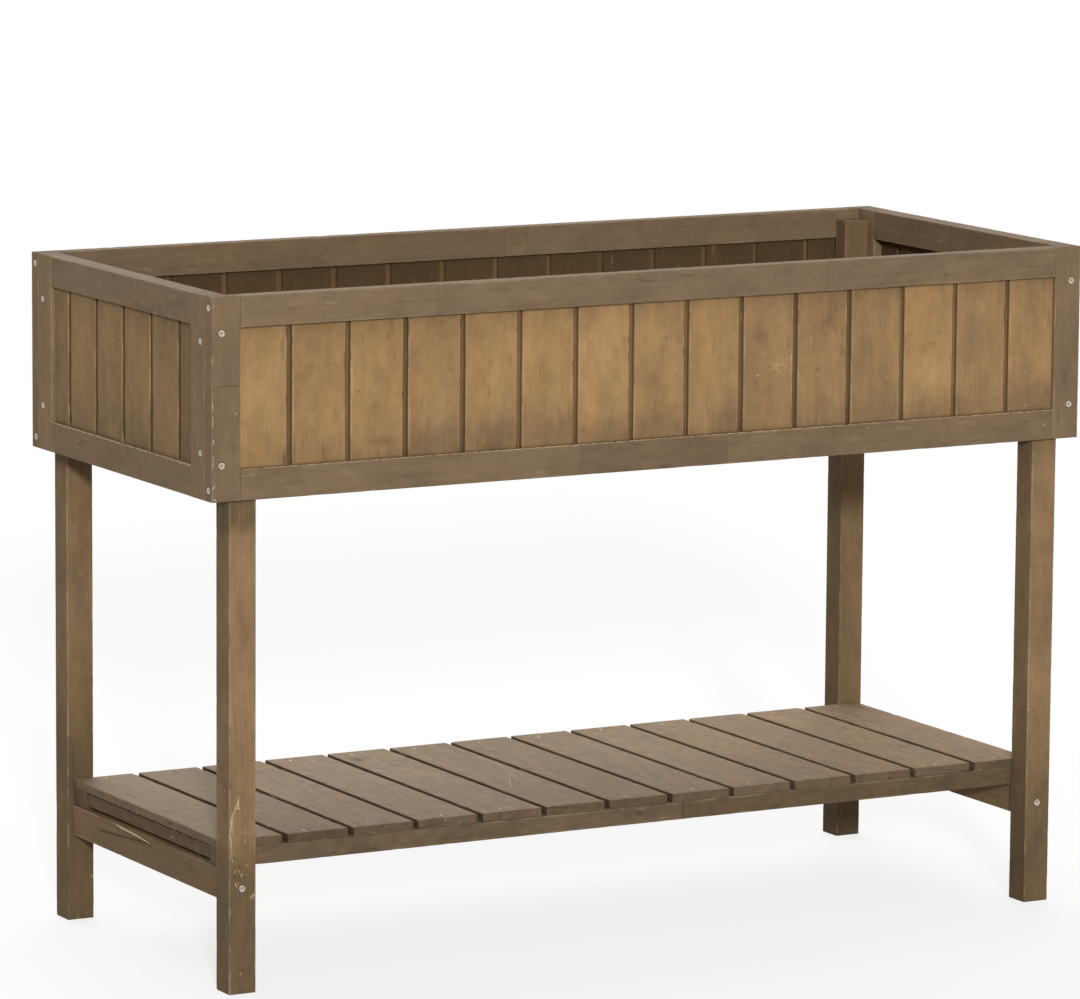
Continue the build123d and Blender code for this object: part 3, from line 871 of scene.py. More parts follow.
def stained_wood(
    name, pale, dark, greyed, raw_wood, figure, streak, blotch, mottle, contrast, rarity, dashes, flecks,
    rubbed, scratch,
):
    """Stained softwood: a tone between a dark and a pale stain, shaded by the grain.

    The plank's own share greys it. Knots, dashes, checks, painted shade, dark marks and cut ends
    darken it, and rubbed arrises, flakes, painted highlights, scratches and chalk marks show the
    pale raw wood. Its tone also carries painted light and shade.
    """
    material, tree, shader = new_material(name)
    grain = layer_of(tree, "grain")["Vector"]
    tone, grey, shade_and_marks = node(tree, "SeparateXYZ", {0: layer_of(tree, "stain")["Vector"]}).outputs
    edge, scuffed, end = node(tree, "SeparateXYZ", {0: layer_of(tree, "wear")["Vector"]}).outputs
    wood = use_group(tree, GRAIN, grain, Figure=figure, Streak=streak, Blotch=blotch, Mottle=mottle)
    marks = use_group(tree, KNOTS, grain, Rarity=rarity)
    arris = use_group(tree, ARRIS, grain, Edge=edge, Amount=rubbed)
    scuff = use_group(tree, SCUFFS, grain, Scuff=scuffed, Scratch=scratch, End=end)
    colour = blend(tree, tone, srgb(*dark), srgb(*pale))
    colour = blend(tree, grey, colour, srgb(*greyed))
    colour = blend(tree, 1.0, colour, wood["Tint"], "MULTIPLY")
    gain = sums(tree, "MULTIPLY_ADD", wood["Shade"], contrast, 1.0)
    colour = node(tree, "VectorMath", {0: colour, "Scale": gain}, operation="SCALE").outputs[0]
    speck = times(tree, marks["Speck"], sums(tree, "SUBTRACT", 1.0, end))
    # The shade share holds painted shade and dark marks, and takes the wood towards the colour of shaded and
    # soiled wood
    darkened = (
        (marks["Knot"], KNOT_DEPTH), (marks["Dash"], dashes), (speck, SPECK_DEPTH),
        (scuff["Check"], CHECK_DEPTH), (shade_and_marks, SHADE_AND_MARK_DEPTH), (end, END_DEPTH),
    )
    for mask, depth in darkened:
        colour = blend(tree, times(tree, mask, depth), colour, SHADE_AND_SOIL)
    raw = most(tree, arris["Rubbed"], scuff["Scratched"])
    for mask, share in ((scuff["Raw"], FLAKE_SHARE), (marks["Chalk"], CHALK_SHARE), (marks["Fleck"], flecks)):
        raw = most(tree, raw, times(tree, mask, share))
    height = sums(tree, "SUBTRACT", wood["Height"], times(tree, scuff["Raw"], 0.8))
    height = sums(tree, "SUBTRACT", height, times(tree, scuff["Check"], 1.5))
    relief = node(tree, "Bump", {"Strength": RELIEF_STRENGTH, "Distance": RELIEF_DISTANCE, "Height": height})
    fill(tree, shader, {
        "Base Color": blend(tree, raw, colour, srgb(*raw_wood)),
        "Roughness": ramp(tree, wood["Patch"], 0.2, 0.8, *WOOD_ROUGHNESS),
        "Normal": relief.outputs[0],
        "Specular IOR Level": WOOD_SPECULAR,
    })
    return material


def zinc():
    """Zinc plating on a screw: dull metal in cloudy patches, smeared with stain, with painted shade in its
    recess.
    """
    material, tree, shader = new_material("zinc plating")
    place = node(tree, "TexCoord").outputs["Object"]
    patch = cloud(tree, place, (900, 900, 3.0, 0.6))
    smear = cloud(tree, place, (420, 420, 3.0, 0.6))
    colour = blend(tree, patch, srgb(172, 162, 147), srgb(230, 220, 205))
    colour = blend(tree, ramp(tree, smear, 0.48, 0.66, 0.0, 0.6), colour, srgb(116, 98, 76))
    # Painted shade in the cross recess
    recess = times(tree, layer_of(tree, "recess")["Fac"], 0.5)
    fill(tree, shader, {
        "Base Color": blend(tree, recess, colour, srgb(84, 72, 58)),
        "Roughness": ramp(tree, patch, 0.2, 0.8, 0.40, 0.60),
        "Metallic": 0.35,
    })
    return material


# Stains by slot: colours of pale, dark, greyed and raw wood, then strengths of grain and wear
WOODS = {
    "frame_wood": stained_wood(
        "frame stain", (137, 115, 88), (109, 90, 68), (122, 104, 86), (212, 188, 152),
        figure=0.18, streak=0.40, blotch=1.2, mottle=0.6, contrast=0.55, rarity=0.90,
        dashes=0.32, flecks=0.12, rubbed=0.18, scratch=0.15,
    ),
    "board_wood": stained_wood(
        "board stain", (170, 136, 93), (140, 111, 76), (133, 109, 80), RAW_WOOD,
        figure=0.10, streak=0.20, blotch=1.4, mottle=0.7, contrast=0.62, rarity=0.90,
        dashes=0.22, flecks=0.16, rubbed=0.42, scratch=0.10,
    ),
    "leg_wood": stained_wood(
        "leg stain", (164, 134, 98), (104, 86, 63), (122, 102, 78), (216, 190, 148),
        figure=0.22, streak=0.30, blotch=1.5, mottle=0.6, contrast=0.60, rarity=0.82,
        dashes=0.32, flecks=0.12, rubbed=0.30, scratch=0.12,
    ),
    "shelf_wood": stained_wood(
        "shelf stain", (162, 141, 117), (100, 83, 62), (152, 126, 96), (192, 174, 150),
        figure=0.22, streak=0.22, blotch=1.4, mottle=1.0, contrast=0.62, rarity=0.74,
        dashes=0.50, flecks=0.42, rubbed=0.26, scratch=0.40,
    ),
    "floor_wood": stained_wood(
        "floor stain", (158, 134, 102), (128, 106, 78), (130, 112, 92), RAW_WOOD,
        figure=0.40, streak=0.8, blotch=1.2, mottle=0.5, contrast=0.60, rarity=0.80,
        dashes=0.32, flecks=0.10, rubbed=0.20, scratch=0.2,
    ),
}
ZINC = zinc()


def node_box(name):
    """The box of a construction node as two arrays."""
    low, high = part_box(name)
    return np.array(low), np.array(high)


def arris_highlight(face, axis, low, high):
    """A painted highlight along the outer top arris of a bottom rail, drawn as a pale scuff."""
    outer = {**FACES, **SIDES}[face]
    centre, reach = np.zeros(3), np.full(3, HIGHLIGHT_WIDTH)
    centre[1 - axis], centre[2] = (low if outer < 0 else high)[1 - axis], high[2]
    reach[axis], reach[2] = HIGHLIGHT_LENGTH, HIGHLIGHT_HEIGHT
    return centre, reach, HIGHLIGHT_SHARE


def add_panel(face, order):
    """The stiles, rails and boards of one panel."""
    long_side = face in FACES
    axis = 0 if long_side else 1
    stiles = []
    for k, hand in enumerate(SIDES):
        rng = draws("stile", PANEL_SEEDS * order + k)
        name = f"{face}_{hand}_stile"
        low, high = node_box(name)
        stiles.append((low, high))
        # The stiles of the side panels take painted light in their tone
        tone = rng.uniform(*STILE_TONES) + (0.0 if long_side else SIDE_FRAME_LIGHT)
        grey = rng.uniform(*FRAME_GREYS)
        solid = plank(low, high, 2, rng, grey=grey, tone=tone, seams=STILE_SEAMS.get(name, ()))
        add_plank(name, solid, "frame_wood")
    stiles.sort(key=lambda box: box[0][axis])
    inner_low, inner_high = stiles[0][1][axis], stiles[1][0][axis]
    for k, level in enumerate(("top", "bottom")):
        rng = draws("rail", PANEL_SEEDS * order + k)
        name = f"{face}_{level}_rail"
        low, high = node_box(name)
        low[axis], high[axis] = inner_low, inner_high
        count = 2 if long_side else 1
        seams = np.sort(rng.uniform(inner_low + SEAM_FROM_END, inner_high - SEAM_FROM_END, count))
        tone = rng.uniform(*RAIL_TONES, len(seams) + 1)
        seams, tone = RAIL_LENGTHS.get(name, (seams, tone))
        scuffs = [arris_highlight(face, axis, low, high)] if level == "bottom" else []
        grey = rng.uniform(*FRAME_GREYS)
        solid = plank(low, high, axis, rng, grey=grey, tone=np.array(tone), seams=seams, scuffs=scuffs)
        add_plank(name, solid, "frame_wood")
    add_boards(face, order, inner_high - inner_low)


# Front boards from left to right: tone, greyness, and marks by place across, place up, reach
# across, reach up, and shares for dark, flaked and grey
FRONT_TONES = (0.72, 0.62, 0.56, 0.52, 0.70, 0.64, 0.88, 0.60, 0.68, 0.52, 0.36, 0.42, 0.72, 0.58, 0.52)
FRONT_GREYS = (0.0, 0.05, 0.1, 0.1, 0.0, 0.0, 0.0, 0.15, 0.1, 0.35, 0.15, 0.35, 0.0, 0.30, 0.15)
FRONT_MARKS = (
    [(0.45, 0.78, 9, 3, 0.12, 0, 0), (0.95, 0.05, 2.5, 6, 0.75, 0, 0)],
    [
        (0.58, 0.10, 0.8, 11, 0.60, 0, 0), (0.03, 0.60, 1.3, 1.3, 0.55, 0, 0),
        (0.98, 0.42, 1.2, 9, 0.45, 0.5, 0), (0.03, 0.10, 2.2, 16, 0.45, 0, 0),
    ],
    [
        (0.55, 0.125, 15, 3.5, 0.26, 0, 0), (0.16, 0.49, 1.3, 1.3, 0.5, 0, 0),
        (0.87, 0.45, 1.2, 1.2, 0.5, 0, 0), (0.80, 0.80, 1.2, 1.2, 0.4, 0, 0), (0.84, 0.72, 0.8, 4, 0.4, 0, 0),
    ],
    [
        (0.62, 0.94, 4, 3.5, 0.30, 0, 0), (0.26, 0.39, 1.4, 5, 0.30, 0, 0), (0.72, 0.23, 1.5, 2, 0.3, 0, 0),
        (0.5, 0.13, 40, 26, 0.06, 0, 0.4),
    ],
    [(0.02, 0.36, 1, 5, 0, 0.8, 0), (0.5, 0.13, 40, 24, 0.06, 0, 0.4), (0.90, 0.90, 2.5, 9, 0, 0.6, 0)],
    [
        (0.85, 0.68, 1.2, 1.2, 0.5, 0, 0), (0.40, 0.59, 1.1, 1.1, 0.45, 0, 0),
        (0.5, 0.15, 40, 28, 0.06, 0, 0.4),
    ],
    [(0.80, 0.30, 1.2, 1.2, 0.4, 0, 0), (0.88, 0.74, 2, 4, 0.2, 0, 0), (0.5, 0.06, 40, 16, 0.05, 0, 0.35)],
    [
        (0.63, 0.73, 2.4, 2.0, 0.50, 0, 0), (0.56, 0.65, 4, 7, 0.14, 0, 0), (0.03, 0.50, 1, 7, 0, 0.7, 0),
        (0.5, 0.10, 40, 20, 0.06, 0, 0.4),
    ],
    [(0.75, 0.13, 1.3, 1.3, 0.45, 0, 0), (0.97, 0.10, 1.2, 8, 0, 0.8, 0), (0.85, 0.20, 8, 22, 0, 0, 0.5)],
    [
        (0.28, 0.41, 3.2, 1.6, 0, 1.1, 0), (0.68, 0.47, 17, 20, 0, 0.90, 0), (0.97, 0.52, 1.4, 6, 0, 1.2, 0),
        (0.40, 0.56, 2, 3, 0, 1.0, 0), (0.30, 0.70, 11, 13, 0.22, 0, 0.3), (0.90, 0.62, 2, 4, 0.3, 0, 0),
    ],
    [(0.03, 0.85, 1, 3, 0, 1.0, 0), (0.40, 0.42, 1.4, 1.4, 0.45, 0, 0), (0.03, 0.28, 1, 4, 0, 0.9, 0)],
    [
        (0.25, 0.48, 11, 44, 0, 0, 0.55), (0.74, 0.33, 1.8, 1.6, 0, 1.2, 0), (0.02, 0.51, 1, 2.5, 0, 1.1, 0),
        (0.85, 0.08, 1.2, 1.2, 0.5, 0, 0),
    ],
    [(0.75, 0.64, 3, 3, 0.14, 0, 0), (0.50, 0.26, 1.2, 1.2, 0.35, 0, 0)],
    [(0.30, 0.62, 14, 36, 0, 0, 0.5), (0.86, 0.80, 1.2, 1.2, 0.5, 0, 0), (0.93, 0.36, 2, 12, 0, 0.6, 0)],
    [(0.45, 0.41, 1.2, 1.2, 0.4, 0, 0), (0.20, 0.93, 2, 3, 0.15, 0, 0), (0.5, 0.12, 40, 20, 0.06, 0, 0.35)],
)


def add_boards(face, order, opening):
    """The row of boards in one panel, worked out facing the front and turned to its own side."""
    full = math.floor(opening / BOARD_PITCH + 1e-6) - 1
    joints = (np.arange(full + 1) - full / 2) * BOARD_PITCH
    starts = np.concatenate([[-opening / 2 - BOARD_HOUSING], joints + BOARD_GAP / 2])
    ends = np.concatenate([joints - BOARD_GAP / 2, [opening / 2 + BOARD_HOUSING]])
    rng = draws("board", order)
    turn = QUARTER_TURNS[face] * math.pi / 2
    c, s = round(math.cos(turn)), round(math.sin(turn))
    outer = HALF_DEPTH if face in FACES else HALF_LENGTH
    last = len(starts) - 1
    solids = []
    for i, (start, end) in enumerate(zip(starts, ends)):
        tone, grey, marks = rng.uniform(*BOARD_TONES), rng.uniform(*BOARD_GREYS), []
        if face in SIDES:
            grey = rng.uniform(*SIDE_BOARD_GREYS)
        if face == "front":
            tone, grey, marks = FRONT_TONES[i], FRONT_GREYS[i], FRONT_MARKS[i]
        # The last board of the left panel takes a painted shadow of the stile beside it
        shade = LAST_BOARD_SHADE if face == "left" and i == last else 0.0
        lit = JOINT_LIGHT + JOINT_LIGHT * i
        solid = board(start, end, i < last, i > 0, rng, tone, grey, shade, lit, marks)
        x, y, z = np.moveaxis(solid["points"], -1, 0)
        y = y - outer
        solid["points"] = np.stack([c * x - s * y, s * x + c * y, z], axis=-1)
        solids.append(solid)
    add_timber(f"{face}_boards_timber", solids, [f"{face}_boards"], "board_wood")


# Legs in the order front left, front right, back left, back right: tone, tone of the sides that
# face along the box, partly painted light set per leg, and fades of painted shade in tone,
# greyness and shade share between two heights, towards the foot and under the box and shelf
LEG_TONES = (0.66, 0.53, 0.32, 0.30)
LEG_SIDE_TONE_AND_LIGHT = (-0.32, -0.04, -0.14, -0.16)
LEG_SHADE_FADES = (
    [(0.185, 0.115, -0.58, 0.3, 0.04), (0.497, 0.520, -0.50, 0.3, 0.0)],
    [(0.260, 0.040, -0.45, 0.1, 0.08), (0.505, 0.540, -0.20, 0.2, 0.0)],
    [(0.320, 0.140, -0.36, 0.0, 0.0), (0.505, 0.540, -0.20, 0.0, 0.15)],
    [(0.200, 0.060, -0.30, 0.0, 0.28)],
)
LEG_GREY = 0.05

# Torn arris and bruised screw seat on the front left leg: scuffs by centre, reach and share,
# scoops by centre, reach, depth, direction and darkness
LEG_SCUFFS = [
    ((-0.5150, -0.223, 0.2080), (0.0026, 0.003, 0.0060), 0.95),
    ((-0.5185, -0.223, 0.1850), (0.0045, 0.003, 0.0200), 0.45),
    ((-0.5068, -0.223, 0.1725), (0.0034, 0.003, 0.0150), 0.86),
    ((-0.5220, -0.223, 0.1480), (0.0012, 0.003, 0.0040), 0.9),
    ((-0.5135, -0.223, 0.1345), (0.0085, 0.003, 0.0085), 0.78),
    ((-0.5180, -0.223, 0.1190), (0.0032, 0.003, 0.0070), 0.80),
    ((-0.4990, -0.223, 0.1070), (0.0060, 0.003, 0.0060), 0.88),
]
LEG_SCOOPS = [
    ((-0.5130, -0.223, 0.1330), (0.0080, 0.004, 0.0080), 0.4 * MM, (0, 1, 0), 0.25),
    ((-0.5030, -0.223, 0.1080), (0.0050, 0.004, 0.0050), 0.3 * MM, (0, 1, 0), 0.20),
]


def add_legs():
    """Four legs, each held back to the panel's inner face above its shoulder."""
    for k, (y_name, x_name) in enumerate((y, x) for y in FACES for x in SIDES):
        name = f"{y_name}_{x_name}_leg"
        low, high = node_box(name)
        sign = FACES[y_name]
        rebate = (1, sign, sign * INNER_HALF_DEPTH, BOX_BOTTOM, high[2] + FAR_OUT)
        torn = name == "front_left_leg"
        # The sides that face along the box take painted light in their tone, and the fades paint shade
        side = LEG_SIDE_TONE_AND_LIGHT[k]
        solid = plank(
            low, high, 2, draws("leg", k), radius=HEAVY_RADIUS, tone=LEG_TONES[k], grey=LEG_GREY,
            rebates=[rebate], scuffs=LEG_SCUFFS if torn else (), scoops=LEG_SCOOPS if torn else (),
            side_tones_and_light=(side, 0.0, side, 0.0), shade_fades=LEG_SHADE_FADES[k],
        )
        add_plank(name, solid, "leg_wood")


# Shelf: tones, painted light and shade, the shadow gap over an end batten, and the torn arris and crack of
# the left stretcher
# Tones of the stretchers; the right one is lifted to paint the light that falls on its inner face
STRETCHER_TONE_AND_LIGHT = (0.14, 0.55)
BEAM_TONES = (0.10, 0.06)
# Painted shade on the inner face of each back beam, under the slats
BACK_BEAM_SHADES = (0.0, 0.0, 0.4, 0.0)
# Painted shade on an end batten: strong on its top in the shadow gap, faint on its other sides, and a line
# under the slat over this reach
BATTEN_SHADES = (0.9, 0.12, 0.12, 0.12)
BATTEN_SHADE_REACH = (0.004, 1.0, 0.0024)
SHADOW_GAP = 1.8 * MM
TEAR_Y = 0.030
TEAR_REACH = (0.004, 0.055, 0.004)
TEAR_DEPTH = 1.6 * MM
TEAR_WAY = (0.7, 0, -0.7)
CRACK_Y = np.linspace(0.112, -0.004, 9)
CRACK_DROP = np.linspace(15.5, 7.0, 9) * MM
CRACK_REACH = (0.004, 0.011, 0.0009)
CRACK_DEPTH = 0.9 * MM

# Slats: stray ends, tones, warmth towards the right, painted shade in the gaps, and the sides that show at
# both ends
SLAT_STRAY = 1.5 * MM
SLAT_TONES = (0.64, 0.86)
SLAT_WARMTH = 0.7
WARM_SLATS = (4, 12)
SLAT_SIDE_TONE = -0.7
# Painted shade on the sides of slats that face the gaps between them
SLAT_GAP_SHADE = 0.65
SLAT_END_TONE = -0.55
OUTER_SIDES = {1: 3, SLAT_COUNT: 1}
OUTER_SIDE_TONE = -0.58
# Painted shade line along the foot of an outer side, over the batten
OUTER_SHADE_REACH = (0.002, 1.0, 0.0010)
OUTER_SHADE = 0.9


def add_stretcher(x_name, tone, rng):
    """The stretcher of one end, the left one torn along its arris and cracked."""
    name = f"{x_name}_stretcher"
    low, high = node_box(name)
    scoops = []
    if x_name == "left":
        scoops.append(((low[0], TEAR_Y, high[2]), TEAR_REACH, TEAR_DEPTH, TEAR_WAY, 0.0))
        for y, drop in zip(CRACK_Y, CRACK_DROP):
            scoops.append(((low[0], y, high[2] - drop), CRACK_REACH, CRACK_DEPTH, (1, 0, 0), 1.0))
    add_plank(name, plank(low, high, 1, rng, tone=tone, scoops=scoops), "leg_wood")


def add_batten(x_name, rng):
    """The short batten between the beams at one end, with painted shade under the slat that lies on it."""
    name = f"shelf_end_batten_{x_name}"
    low, high = node_box(name)
    # painted shadow line along the batten's outer face, under the slat
    under_slat = ((low[0], 0.0, high[2]), BATTEN_SHADE_REACH, 0.0, (0, 0, -1), 1.0)
    high[2] -= SHADOW_GAP
    solid = plank(low, high, 1, rng, tone=0.0, scoops=[under_slat], side_shades=BATTEN_SHADES)
    add_plank(name, solid, "shelf_wood")


def add_slat(i):
    """One slat of the shelf, counted from the left."""
    rng = draws("slat", i)
    name = f"shelf_slat_{i:02d}"
    low, high = node_box(name)
    low[1] += rng.uniform(0, SLAT_STRAY)
    high[1] -= rng.uniform(0, SLAT_STRAY)
    tone, warm = rng.uniform(*SLAT_TONES), SLAT_WARMTH * smooth(*WARM_SLATS, i)
    side_tones_and_light = [0.0, SLAT_SIDE_TONE, 0.0, SLAT_SIDE_TONE]
    # painted shade on the sides that face the gaps
    side_shades = [0.0, SLAT_GAP_SHADE, 0.0, SLAT_GAP_SHADE]
    scoops = []
    if i in OUTER_SIDES:
        side_tones_and_light[OUTER_SIDES[i]], side_shades[OUTER_SIDES[i]] = OUTER_SIDE_TONE, 0.0
        # painted shade along the foot of the outer side
        foot = (low[0] if i == 1 else high[0], 0.0, low[2])
        scoops.append((foot, OUTER_SHADE_REACH, 0.0, (0, 0, 1), OUTER_SHADE))
    solid = plank(
        low, high, 1, rng, radius=SLAT_RADIUS, chip=SLAT_CHIP, tone=tone, grey=warm, side_tones_and_light=side_tones_and_light,
        side_shades=side_shades, end_tone=SLAT_END_TONE, scoops=scoops,
    )
    add_plank(name, solid, "shelf_wood")


def add_shelf():
    """Stretchers, beams, end battens and slats."""
    for k, x_name in enumerate(SIDES):
        rng = draws("shelf_side", k)
        add_stretcher(x_name, STRETCHER_TONE_AND_LIGHT[k], rng)
        add_batten(x_name, rng)
        for y_name in FACES:
            name = f"shelf_{y_name}_beam_{x_name}"
            # painted shade on the inner face of a back beam
            inner = BACK_BEAM_SHADES if y_name == "back" else EVEN
            solid = plank(*node_box(name), 0, rng, tone=BEAM_TONES[k], side_shades=inner)
            add_plank(name, solid, "shelf_wood")
    for i in range(1, SLAT_COUNT + 1):
        add_slat(i)


# Floor boards of the box: least and most tone and greyness
FLOOR_TONES = (0.3, 0.7)
FLOOR_GREYS = (0.1, 0.7)


def add_floor_of_box():
    """Ledgers along the long panels and boards across them, the end ones notched for the legs."""
    for k, y_name in enumerate(FACES):
        name = f"{y_name}_floor_ledger"
        add_plank(name, plank(*node_box(name), 0, draws("ledger", k), radius=HEAVY_RADIUS), "floor_wood")
    span = 2 * (INNER_HALF_LENGTH - FLOOR_PLAY)
    pitch = (span + FLOOR_GAP) / FLOOR_COUNT
    half = (pitch - FLOOR_GAP) / 2
    low, high = node_box("floor_boards")
    solids = []
    for i in range(1, FLOOR_COUNT - 1):
        low[0], high[0] = (i - (FLOOR_COUNT - 1) / 2) * pitch + half * np.array(SIGNS)
        rng = draws("floor_board", i)
        tone, grey = rng.uniform(*FLOOR_TONES), rng.uniform(*FLOOR_GREYS)
        solids.append(plank(low, high, 1, rng, radius=HEAVY_RADIUS, tone=tone, grey=grey))
    add_timber("floor_boards_timber", solids, ["floor_boards"], "floor_wood")
    notch_y = LEG_INNER_Y - FLOOR_PLAY
    for x_name, sign in SIDES.items():
        name = f"floor_end_board_{x_name}"
        limit = sign * (INNER_HALF_LENGTH - LEG_SIZE - FLOOR_PLAY)
        rebates = [(0, sign, limit, -FAR_OUT, -notch_y), (0, sign, limit, notch_y, FAR_OUT)]
        rng = draws("floor_end", sign)
        add_plank(name, plank(*node_box(name), 1, rng, radius=HEAVY_RADIUS, rebates=rebates), "floor_wood")


def turned(rows_r, rows_z, steps, dent=None):
    """A turned shape: radius and height of each row carried round an axis, poles closed by fans.

    The dent lowers a point by a function of its place across the axis.
    """
    angle = np.linspace(0, 2 * math.pi, steps, endpoint=False)
    r, z = rows_r[1:-1, None], rows_z[1:-1, None]
    rings = np.stack(np.broadcast_arrays(r * np.cos(angle), r * np.sin(angle), z), axis=-1)
    poles = np.array([[0, 0, rows_z[0]], [0, 0, rows_z[-1]]])
    points = np.concatenate([rings.reshape(-1, 3), poles])
    if dent is not None:
        points[:, 2] -= dent(points)
    index = np.arange(len(r) * steps).reshape(len(r), steps)
    ahead = np.roll(index, -1, axis=1)
    quads = np.stack([index[:-1], index[1:], ahead[1:], ahead[:-1]], axis=-1).reshape(-1, 4)
    top, tip = len(points) - 2, len(points) - 1
    fan_top = np.stack([np.full(steps, top), index[0], ahead[0]], axis=-1)
    fan_tip = np.stack([np.full(steps, tip), ahead[-1], index[-1]], axis=-1)
    return points, quads.tolist() + fan_top.tolist() + fan_tip.tolist()


def recess_bar(across, along):
    """Share of one soft-sided bar of the cross: 1 inside it and 0 outside."""
    inside = 1 - smooth(RECESS_HALF_WIDTH, RECESS_HALF_WIDTH + RECESS_SOFT, across)
    return inside * (1 - smooth(RECESS_ARM - RECESS_SOFT, RECESS_ARM + RECESS_SOFT, along))


def cross_recess(points):
    """Depth of a cross-shaped recess: the deeper of two soft-sided bars, on the head's top only."""
    x, y = np.abs(points[:, 0]), np.abs(points[:, 1])
    on_top = points[:, 2] > HEAD_TOP
    return RECESS_DEPTH * np.maximum(recess_bar(x, y), recess_bar(y, x)) * on_top


def placed(points, place, outward, spin):
    """Points of a shape with its axis on z, turned by spin and stood on a place facing outward."""
    z = np.asarray(outward, float)
    side = np.array([0.0, 0.0, 1.0]) if abs(z[2]) < 0.5 else np.array([1.0, 0.0, 0.0])
    x = np.cross(side, z)
    y = np.cross(z, x)
    c, s = math.cos(spin), math.sin(spin)
    return points @ np.stack([c * x + s * y, c * y - s * x, z]) + place


def add_fasteners(name, shapes, faces, nodes, layers=None):
    """Put copies of one shape, given by the points of each, into the scene as one zinc piece."""
    step = len(shapes[0])
    all_faces = [[v + k * step for v in face] for k in range(len(shapes)) for face in faces]
    add_piece(name, np.concatenate(shapes), all_faces, ZINC, nodes, layers)


def add_screws():
    """Countersunk screws with a cross recess, each group as one piece."""
    rng = draws("screw")
    rows_r = np.concatenate([HEAD_ROWS, [SHANK_RADIUS, SHANK_RADIUS, 0.0]])
    for group, places in SCREWS.items():
        length = SCREW_LENGTHS[group]
        shank = [SHANK_RADIUS - HEAD_RADIUS, -SHANK_SHARE * length, HEAD_SUNK - length]
        rows_z = np.concatenate([HEAD_DROPS, shank])
        share = cross_recess(turned(rows_r, rows_z, TURN_STEPS)[0]) / RECESS_DEPTH
        shape, faces = turned(rows_r, rows_z, TURN_STEPS, cross_recess)
        shapes = [placed(shape, p - HEAD_SUNK * n, n, rng.uniform(0, math.pi)) for p, n in places]
        layers = {"recess": np.tile(share, len(places))[:, None] * np.ones(3)}
        add_fasteners(f"{group}_zinc", shapes, faces, [group], layers)


def add_nails():
    """One nail through each end of every slat, its head a low dome."""
    rng = draws("nail")
    shape, faces = turned(NAIL_ROWS, NAIL_HEIGHTS, NAIL_STEPS)
    shapes = []
    for i in range(1, SLAT_COUNT + 1):
        low, high = node_box(f"shelf_slat_{i:02d}")
        for sign in SIGNS:
            x = (low[0] + high[0]) / 2 + rng.uniform(*NAIL_X_STRAY) * MM
            y = sign * (NAIL_Y + rng.uniform(*NAIL_Y_STRAY) * MM)
            shapes.append(shape + np.array([x, y, high[2]]))
    add_fasteners("slat_nails_zinc", shapes, faces, [])


# Splinter on the left stretcher: places of its ends, how far it stands off and hangs, its section
SLIVER_START = 0.125
SLIVER_TIP = -0.021
SLIVER_LIFT = 2.2 * MM
SLIVER_SUNK = 0.5 * MM
SLIVER_DROP = 4.2 * MM
SLIVER_BELOW = 1.2 * MM
SLIVER_WOBBLE = 0.5 * MM
SLIVER_WOBBLE_STEP = 9 * MM
SLIVER_HALF_THICKNESS = 0.9 * MM
SLIVER_HALF_WIDTH = 2.1 * MM
SLIVER_RINGS = np.linspace(0.004, 0.996, 40)
SLIVER_TURN = np.linspace(0, 2 * math.pi, 12, endpoint=False)


def add_sliver():
    """A splinter torn from the top arris of the left stretcher, still held at its back end.

    An ellipse is carried along a curve from the arris to a free tip. Its size rises and falls
    as the square root of t (1 - t), and it lifts off the wood with the square of t.
    """
    low, high = node_box("left_stretcher")
    t, turn = SLIVER_RINGS, SLIVER_TURN
    size = 2 * np.sqrt(t * (1 - t))
    y = np.interp(t, (0, 1), (SLIVER_START, SLIVER_TIP))
    lift = SLIVER_LIFT * t**2 - SLIVER_SUNK * (1 - t)
    drop = SLIVER_DROP * t**1.5 + SLIVER_BELOW
    wobble = SLIVER_WOBBLE * (drift(draws("sliver"), y, SLIVER_WOBBLE_STEP) - 0.5)
    rings = np.empty((len(t), len(turn), 3))
    rings[..., 0] = low[0] - lift[:, None] + (SLIVER_HALF_THICKNESS * size)[:, None] * np.cos(turn)
    rings[..., 1] = y[:, None]
    rings[..., 2] = high[2] - (drop + wobble)[:, None] + (SLIVER_HALF_WIDTH * size)[:, None] * np.sin(turn)
    raw = smooth(0.10, 0.55, t)[:, None] * smooth(-0.3, 0.6, np.sin(turn))[None]
    grain = np.stack([rings[..., 1], rings[..., 2], rings[..., 0]], axis=-1)
    stain = np.stack([0.10 + 0.4 * raw, 0 * raw, 0 * raw], axis=-1)
    wear = np.stack([0.5 + 0.5 * raw, 1.5 * raw, 0 * raw], axis=-1)
    add_timber("left_stretcher_sliver", [skinned(rings, grain, stain, wear)], [], "leg_wood")


# Lines of torn fibres: width in millimetres, rawness, darkness and corners on the face
LEG_TEARS = [
    (2.0, 1.8, 0.0, [
        (-0.5155, 0.2190), (-0.5166, 0.2090), (-0.5184, 0.2035), (-0.5212, 0.1992), (-0.5236, 0.1914),
        (-0.5244, 0.1775), (-0.5239, 0.1635), (-0.5228, 0.1500),
    ]),
    (2.0, 1.8, 0.0, [(-0.5150, 0.2150), (-0.5141, 0.2065), (-0.5128, 0.2030)]),
    (1.8, 1.7, 0.0, [(-0.5176, 0.2055), (-0.5150, 0.2046), (-0.5124, 0.2045)]),
    (1.2, 1.4, 0.0, [(-0.5215, 0.1985), (-0.5222, 0.1900), (-0.5214, 0.1820), (-0.5225, 0.1740)]),
    (1.0, 1.5, 0.0, [(-0.5022, 0.1045), (-0.4992, 0.1062), (-0.4965, 0.1095)]),
    (0.8, 1.3, 0.0, [(-0.5005, 0.1028), (-0.4972, 0.1045)]),
]
